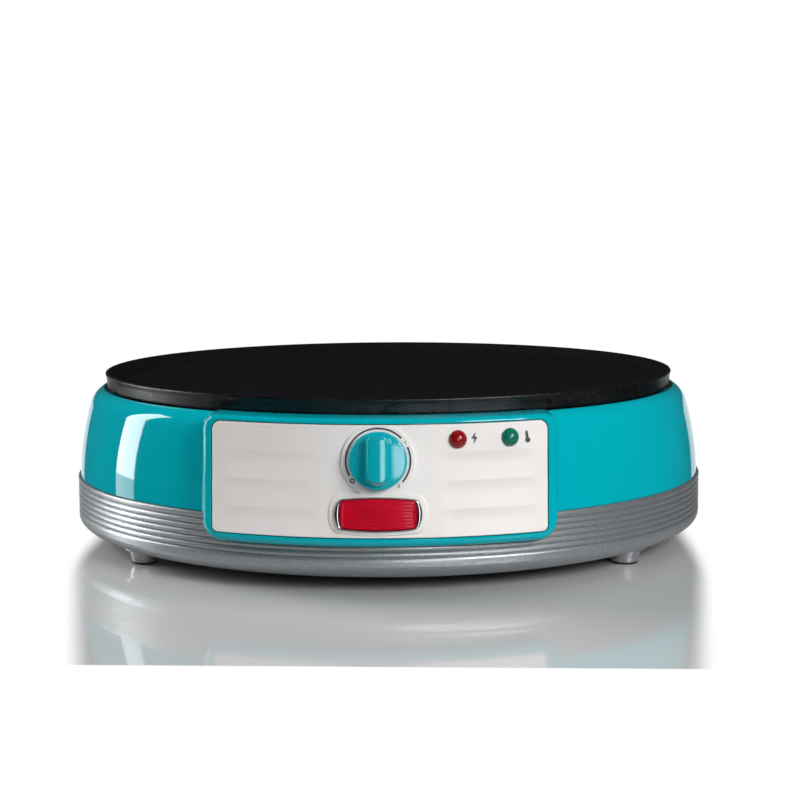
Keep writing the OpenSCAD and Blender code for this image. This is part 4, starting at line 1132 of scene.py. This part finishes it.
def hot_plate():
    s = Shape()
    r, under, floor_z = PLATE_R, PLATE_UNDER, TOTAL_Z - RECESS
    edge_r, low_edge, top_gap = 0.9, 0.7, 1.2
    # the underside, then the turned side, which widens a little upwards
    profile = [(q, under) for q in (0.0, 60, 120, r - 2.5)]
    profile += [(r - 1.7, under + 0.15), (r - 1.1, under + low_edge)]
    side_z0, side_z1 = under + low_edge, TOTAL_Z - top_gap
    profile += [
        (r - 1.0 + 0.6 * t, side_z0 + (side_z1 - side_z0) * t) for t in steps(0.0, 1.0, 8)[1:-1]
    ]
    profile += arc(r - edge_r, TOTAL_Z - edge_r, edge_r, 0, 90, 7)
    # the rim's flat top and the slope down to the cooking surface
    land_r = r - RIM_LAND
    profile += [(r - 1.5, TOTAL_Z), (land_r + 0.2, TOTAL_Z), (land_r - 0.25, TOTAL_Z - 0.12)]
    slope_r = land_r - 0.4
    for t in steps(0.0, 1.0, 7)[1:-1]:
        slope_z = TOTAL_Z - 0.25 - (RECESS - 0.5) * smooth(t)
        profile.append((slope_r + (RIM_FLOOR_R - slope_r) * t, slope_z))
    profile += [(RIM_FLOOR_R, floor_z + 0.2), (RIM_FLOOR_R - 0.8, floor_z)]
    profile += [(q, floor_z) for q in (135, 125, 110, 90, 60, 30, 0.0)]
    s.spin(profile, 360)
    return s


plate = make("plate", hot_plate(), NONSTICK, nodes=["hot_plate"], sharp=50)
plate.data.materials.append(PLATE_SIDE)
for face in plate.data.polygons:
    face_x, face_y, face_z = face.center
    if math.hypot(face_x, face_y) > (PLATE_R - 1.4) * MM and face_z > (PLATE_UNDER + 0.3) * MM:
        face.material_index = 1

# ---------- feet ----------

SOLE_TOP = 1.1


def foot(x, y):
    """A foot that widens upwards, with a socket for its pad's stem."""
    s = Shape()
    low_r, low_z, top_r, top_z = 6.7, 1.6, 8.3, 8.2
    under_r, edge_r = 6.2, 0.4
    socket_r, socket_z = 2.6, 3.0
    profile = [(0.0, socket_z), (socket_r, socket_z), (socket_r, SOLE_TOP), (under_r, SOLE_TOP)]
    profile += arc(low_r - edge_r, SOLE_TOP + edge_r, edge_r, -90, -8, 4)
    profile += [
        (low_r + (top_r - low_r) * t, low_z + (top_z - low_z) * t)
        for t in (0.1, 0.3, 0.5, 0.7, 0.9)
    ]
    profile += [(top_r, top_z), (0.0, top_z)]
    s.spin(profile, 64, lambda a, b, w: (x + a, y + b, w))
    return s


def pad(x, y):
    """The rubber pad under a foot, with its stem."""
    s = Shape()
    r, stem_r, stem_z = 6.4, 2.5, 2.7
    profile = [(0.0, 0.0), (r - 1.2, 0.0), (r - 0.6, 0.08), (r - 0.2, 0.3), (r, 0.6)]
    profile += [(r, SOLE_TOP), (stem_r, SOLE_TOP), (stem_r, stem_z), (0.0, stem_z)]
    s.spin(profile, 64, lambda a, b, w: (x + a, y + b, w))
    return s


for end, sy in (("front", -1), ("rear", 1)):
    for side, sx in (("left", -1), ("right", 1)):
        x, y = sx * FOOT_X, sy * FOOT_Y
        corner = f"{end}_{side}"
        make(f"leg_{corner}", foot(x, y), FOOT_METAL, nodes=[f"foot_{corner}"])
        make(f"sole_{corner}", pad(x, y), RUBBER, nodes=[f"pad_{corner}"])

# ---------- camera ----------

IMAGE_W = 800
SENSOR_W = 36.0
FOCAL_PIXELS = 1779
CAMERA_PLACE = (26.9, -950.7, 182.7)
HEADING = (-0.0218, 0.9998, 0.0)
CAMERA_DOWN, CAMERA_ROLL = math.radians(6.783), math.radians(0.285)


def add_camera():
    data = bpy.data.cameras.new("camera")
    data.sensor_width = SENSOR_W
    data.lens = FOCAL_PIXELS * SENSOR_W / IMAGE_W
    data.clip_end = 50.0
    camera = bpy.data.objects.new("camera", data)
    bpy.context.scene.collection.objects.link(camera)
    sky = Vector((0, 0, 1))
    level = Vector(HEADING).normalized()
    forward = level * math.cos(CAMERA_DOWN) - sky * math.sin(CAMERA_DOWN)
    right = forward.cross(sky).normalized()
    up = right.cross(forward)
    c, s = math.cos(CAMERA_ROLL), math.sin(CAMERA_ROLL)
    turn = Matrix((right * c - up * s, up * c + right * s, -forward)).transposed().to_4x4()
    camera.matrix_world = Matrix.Translation(Vector(CAMERA_PLACE) * MM) @ turn
    bpy.context.scene.camera = camera


add_camera()

# ---------- floor, world and lamps, in metres ----------

FLOOR_CORNERS = (
    (-0.25, -0.2782, 0),
    (0.25, -0.2892, 0),
    (0.25, 0.12, 0),
    (1.25, 2, 0),
    (-1.25, 2, 0),
    (-0.25, 0.12, 0),
)
# the edges of the floor's grey zone at its left, right and back:
# a direction into the zone, the edge's distance from the origin and its softness
ZONE_EDGES = (
    ((1, 0.2034, 0), 0.1705, 0.006),
    ((1, 0, 0), 0.1525, 0.006),
    ((-1, 0.148, 0), 0.1695, 0.006),
    ((-1, 0, 0), 0.1555, 0.006),
    ((0, -1, 0), 0.03, 0.05),
)
WHITE = (1, 1, 1, 1)
S_CURVE = "SMOOTHSTEP"


def floor_look():
    """Pale and glossy in the zone that mirrors the object, white outside it."""
    m, shader = shader_of("floor")
    t = m.node_tree
    dress(shader, Base_Color=(0.57, 0.57, 0.57, 1), Roughness=0.07, IOR=1.45)
    place = object_place(t)
    insides = []
    for direction, distance, soft in ZONE_EDGES:
        across = node(t, "ShaderNodeVectorMath", {0: place}, operation="DOT_PRODUCT")
        across.inputs[1].default_value = direction
        low, high = -distance - soft, -distance + soft
        insides.append(ramp(t, across.outputs["Value"], low, high, interpolation_type=S_CURVE))
    inside = functools.reduce(lambda a, b: maths(t, "MULTIPLY", a, b), insides)
    rays = node(t, "ShaderNodeLightPath").outputs
    outside = maths(t, "SUBTRACT", 1.0, inside)
    seen = maths(t, "MULTIPLY", outside, rays["Is Camera Ray"])
    # gloss shows the white only behind the object
    split = node(t, "ShaderNodeSeparateXYZ", {0: place}).outputs
    behind = ramp(t, split["Y"], 0.10, 0.16, interpolation_type=S_CURVE)
    mirrored = maths(t, "MULTIPLY", behind, rays["Is Glossy Ray"])
    white = node(t, "ShaderNodeEmission", Color=WHITE, Strength=1.0).outputs["Emission"]
    feeds = {0: maths(t, "MAXIMUM", seen, mirrored), 1: shader.outputs["BSDF"], 2: white}
    mix = node(t, "ShaderNodeMixShader", feeds)
    t.links.new(mix.outputs["Shader"], t.nodes["Material Output"].inputs["Surface"])
    return m


def floor():
    mesh = bpy.data.meshes.new("floor")
    mesh.from_pydata(FLOOR_CORNERS, [], [tuple(range(len(FLOOR_CORNERS)))])
    mesh.materials.append(floor_look())
    obj = bpy.data.objects.new("floor", mesh)
    bpy.context.scene.collection.objects.link(obj)


floor()


def studio_world():
    """A dim room around the lamps, white where the camera or glass looks past the object.

    Gloss shows the white in a low band behind the object, as a backdrop there would give it.
    """
    world = bpy.data.worlds.new("studio")
    bpy.context.scene.world = world
    world.use_nodes = True
    t = world.node_tree
    t.nodes.clear()
    room = node(t, "ShaderNodeBackground", Color=(0.03, 0.03, 0.032, 1), Strength=1.0)
    white = node(t, "ShaderNodeBackground", Color=WHITE, Strength=1.0)
    rays = node(t, "ShaderNodeLightPath").outputs
    direction = node(t, "ShaderNodeTexCoord").outputs["Generated"]
    split = node(t, "ShaderNodeSeparateXYZ", {0: direction}).outputs
    band = rays["Is Glossy Ray"]
    for axis, dark, bright in (("Y", 0.88, 0.96), ("Z", 0.015, 0.0)):
        step = ramp(t, split[axis], dark, bright, interpolation_type=S_CURVE)
        band = maths(t, "MULTIPLY", band, step)
    seen = maths(t, "MAXIMUM", rays["Is Camera Ray"], rays["Is Transmission Ray"])
    feeds = {0: maths(t, "MAXIMUM", seen, band)}
    feeds.update({1: room.outputs["Background"], 2: white.outputs["Background"]})
    mix = node(t, "ShaderNodeMixShader", feeds)
    node(t, "ShaderNodeOutputWorld", {"Surface": mix.outputs["Shader"]})


studio_world()

OBJECT_MIDDLE = (0, 0, 0.05)


def softbox(name, place, width, height, power, aim=OBJECT_MIDDLE, diffuse=True, glossy=True):
    """A rectangular lamp that the camera doesn't see."""
    data = bpy.data.lights.new(name, "AREA")
    data.shape = "RECTANGLE"
    data.size = width
    data.size_y = height
    data.energy = power
    obj = bpy.data.objects.new(name, data)
    bpy.context.scene.collection.objects.link(obj)
    obj.location = place
    direction = Vector(aim) - Vector(place)
    obj.rotation_euler = direction.to_track_quat("-Z", "Y").to_euler()
    obj.visible_diffuse = diffuse
    obj.visible_glossy = glossy
    obj.visible_camera = False


softbox("key", (0.84, -1.08, 0.68), 0.55, 0.55, 15.6)
softbox("top", (0.0, -0.1, 1.4), 1.3, 1.1, 4.0, glossy=False)
softbox("fill", (-0.2, -1.6, 0.7), 1.0, 0.8, 4.2, glossy=False)
softbox("left", (-1.35, 0.35, 0.6), 0.8, 0.8, 21.0, glossy=False)
softbox("right", (1.4, 0.0, 0.7), 0.8, 0.8, 3.0, glossy=False)
# these show only in gloss: one in front and a strip on the left that goes on below the floor
softbox("front", (0.52, -2.11, 0.22), 0.46, 0.80, 8.5, aim=(0, -0.17, 0.06), diffuse=False)
for strip_name, strip_z, strip_height, strip_power in (
    ("strip", 0.345, 0.69, 5.8),
    ("strip_low", -0.10, 0.20, 0.58),
):
    softbox(
        strip_name,
        (-0.925, 0.165, strip_z),
        0.19,
        strip_height,
        strip_power,
        aim=(-0.12, -0.10, strip_z),
        diffuse=False,
    )

view_settings = bpy.context.scene.view_settings
view_settings.view_transform = "Standard"
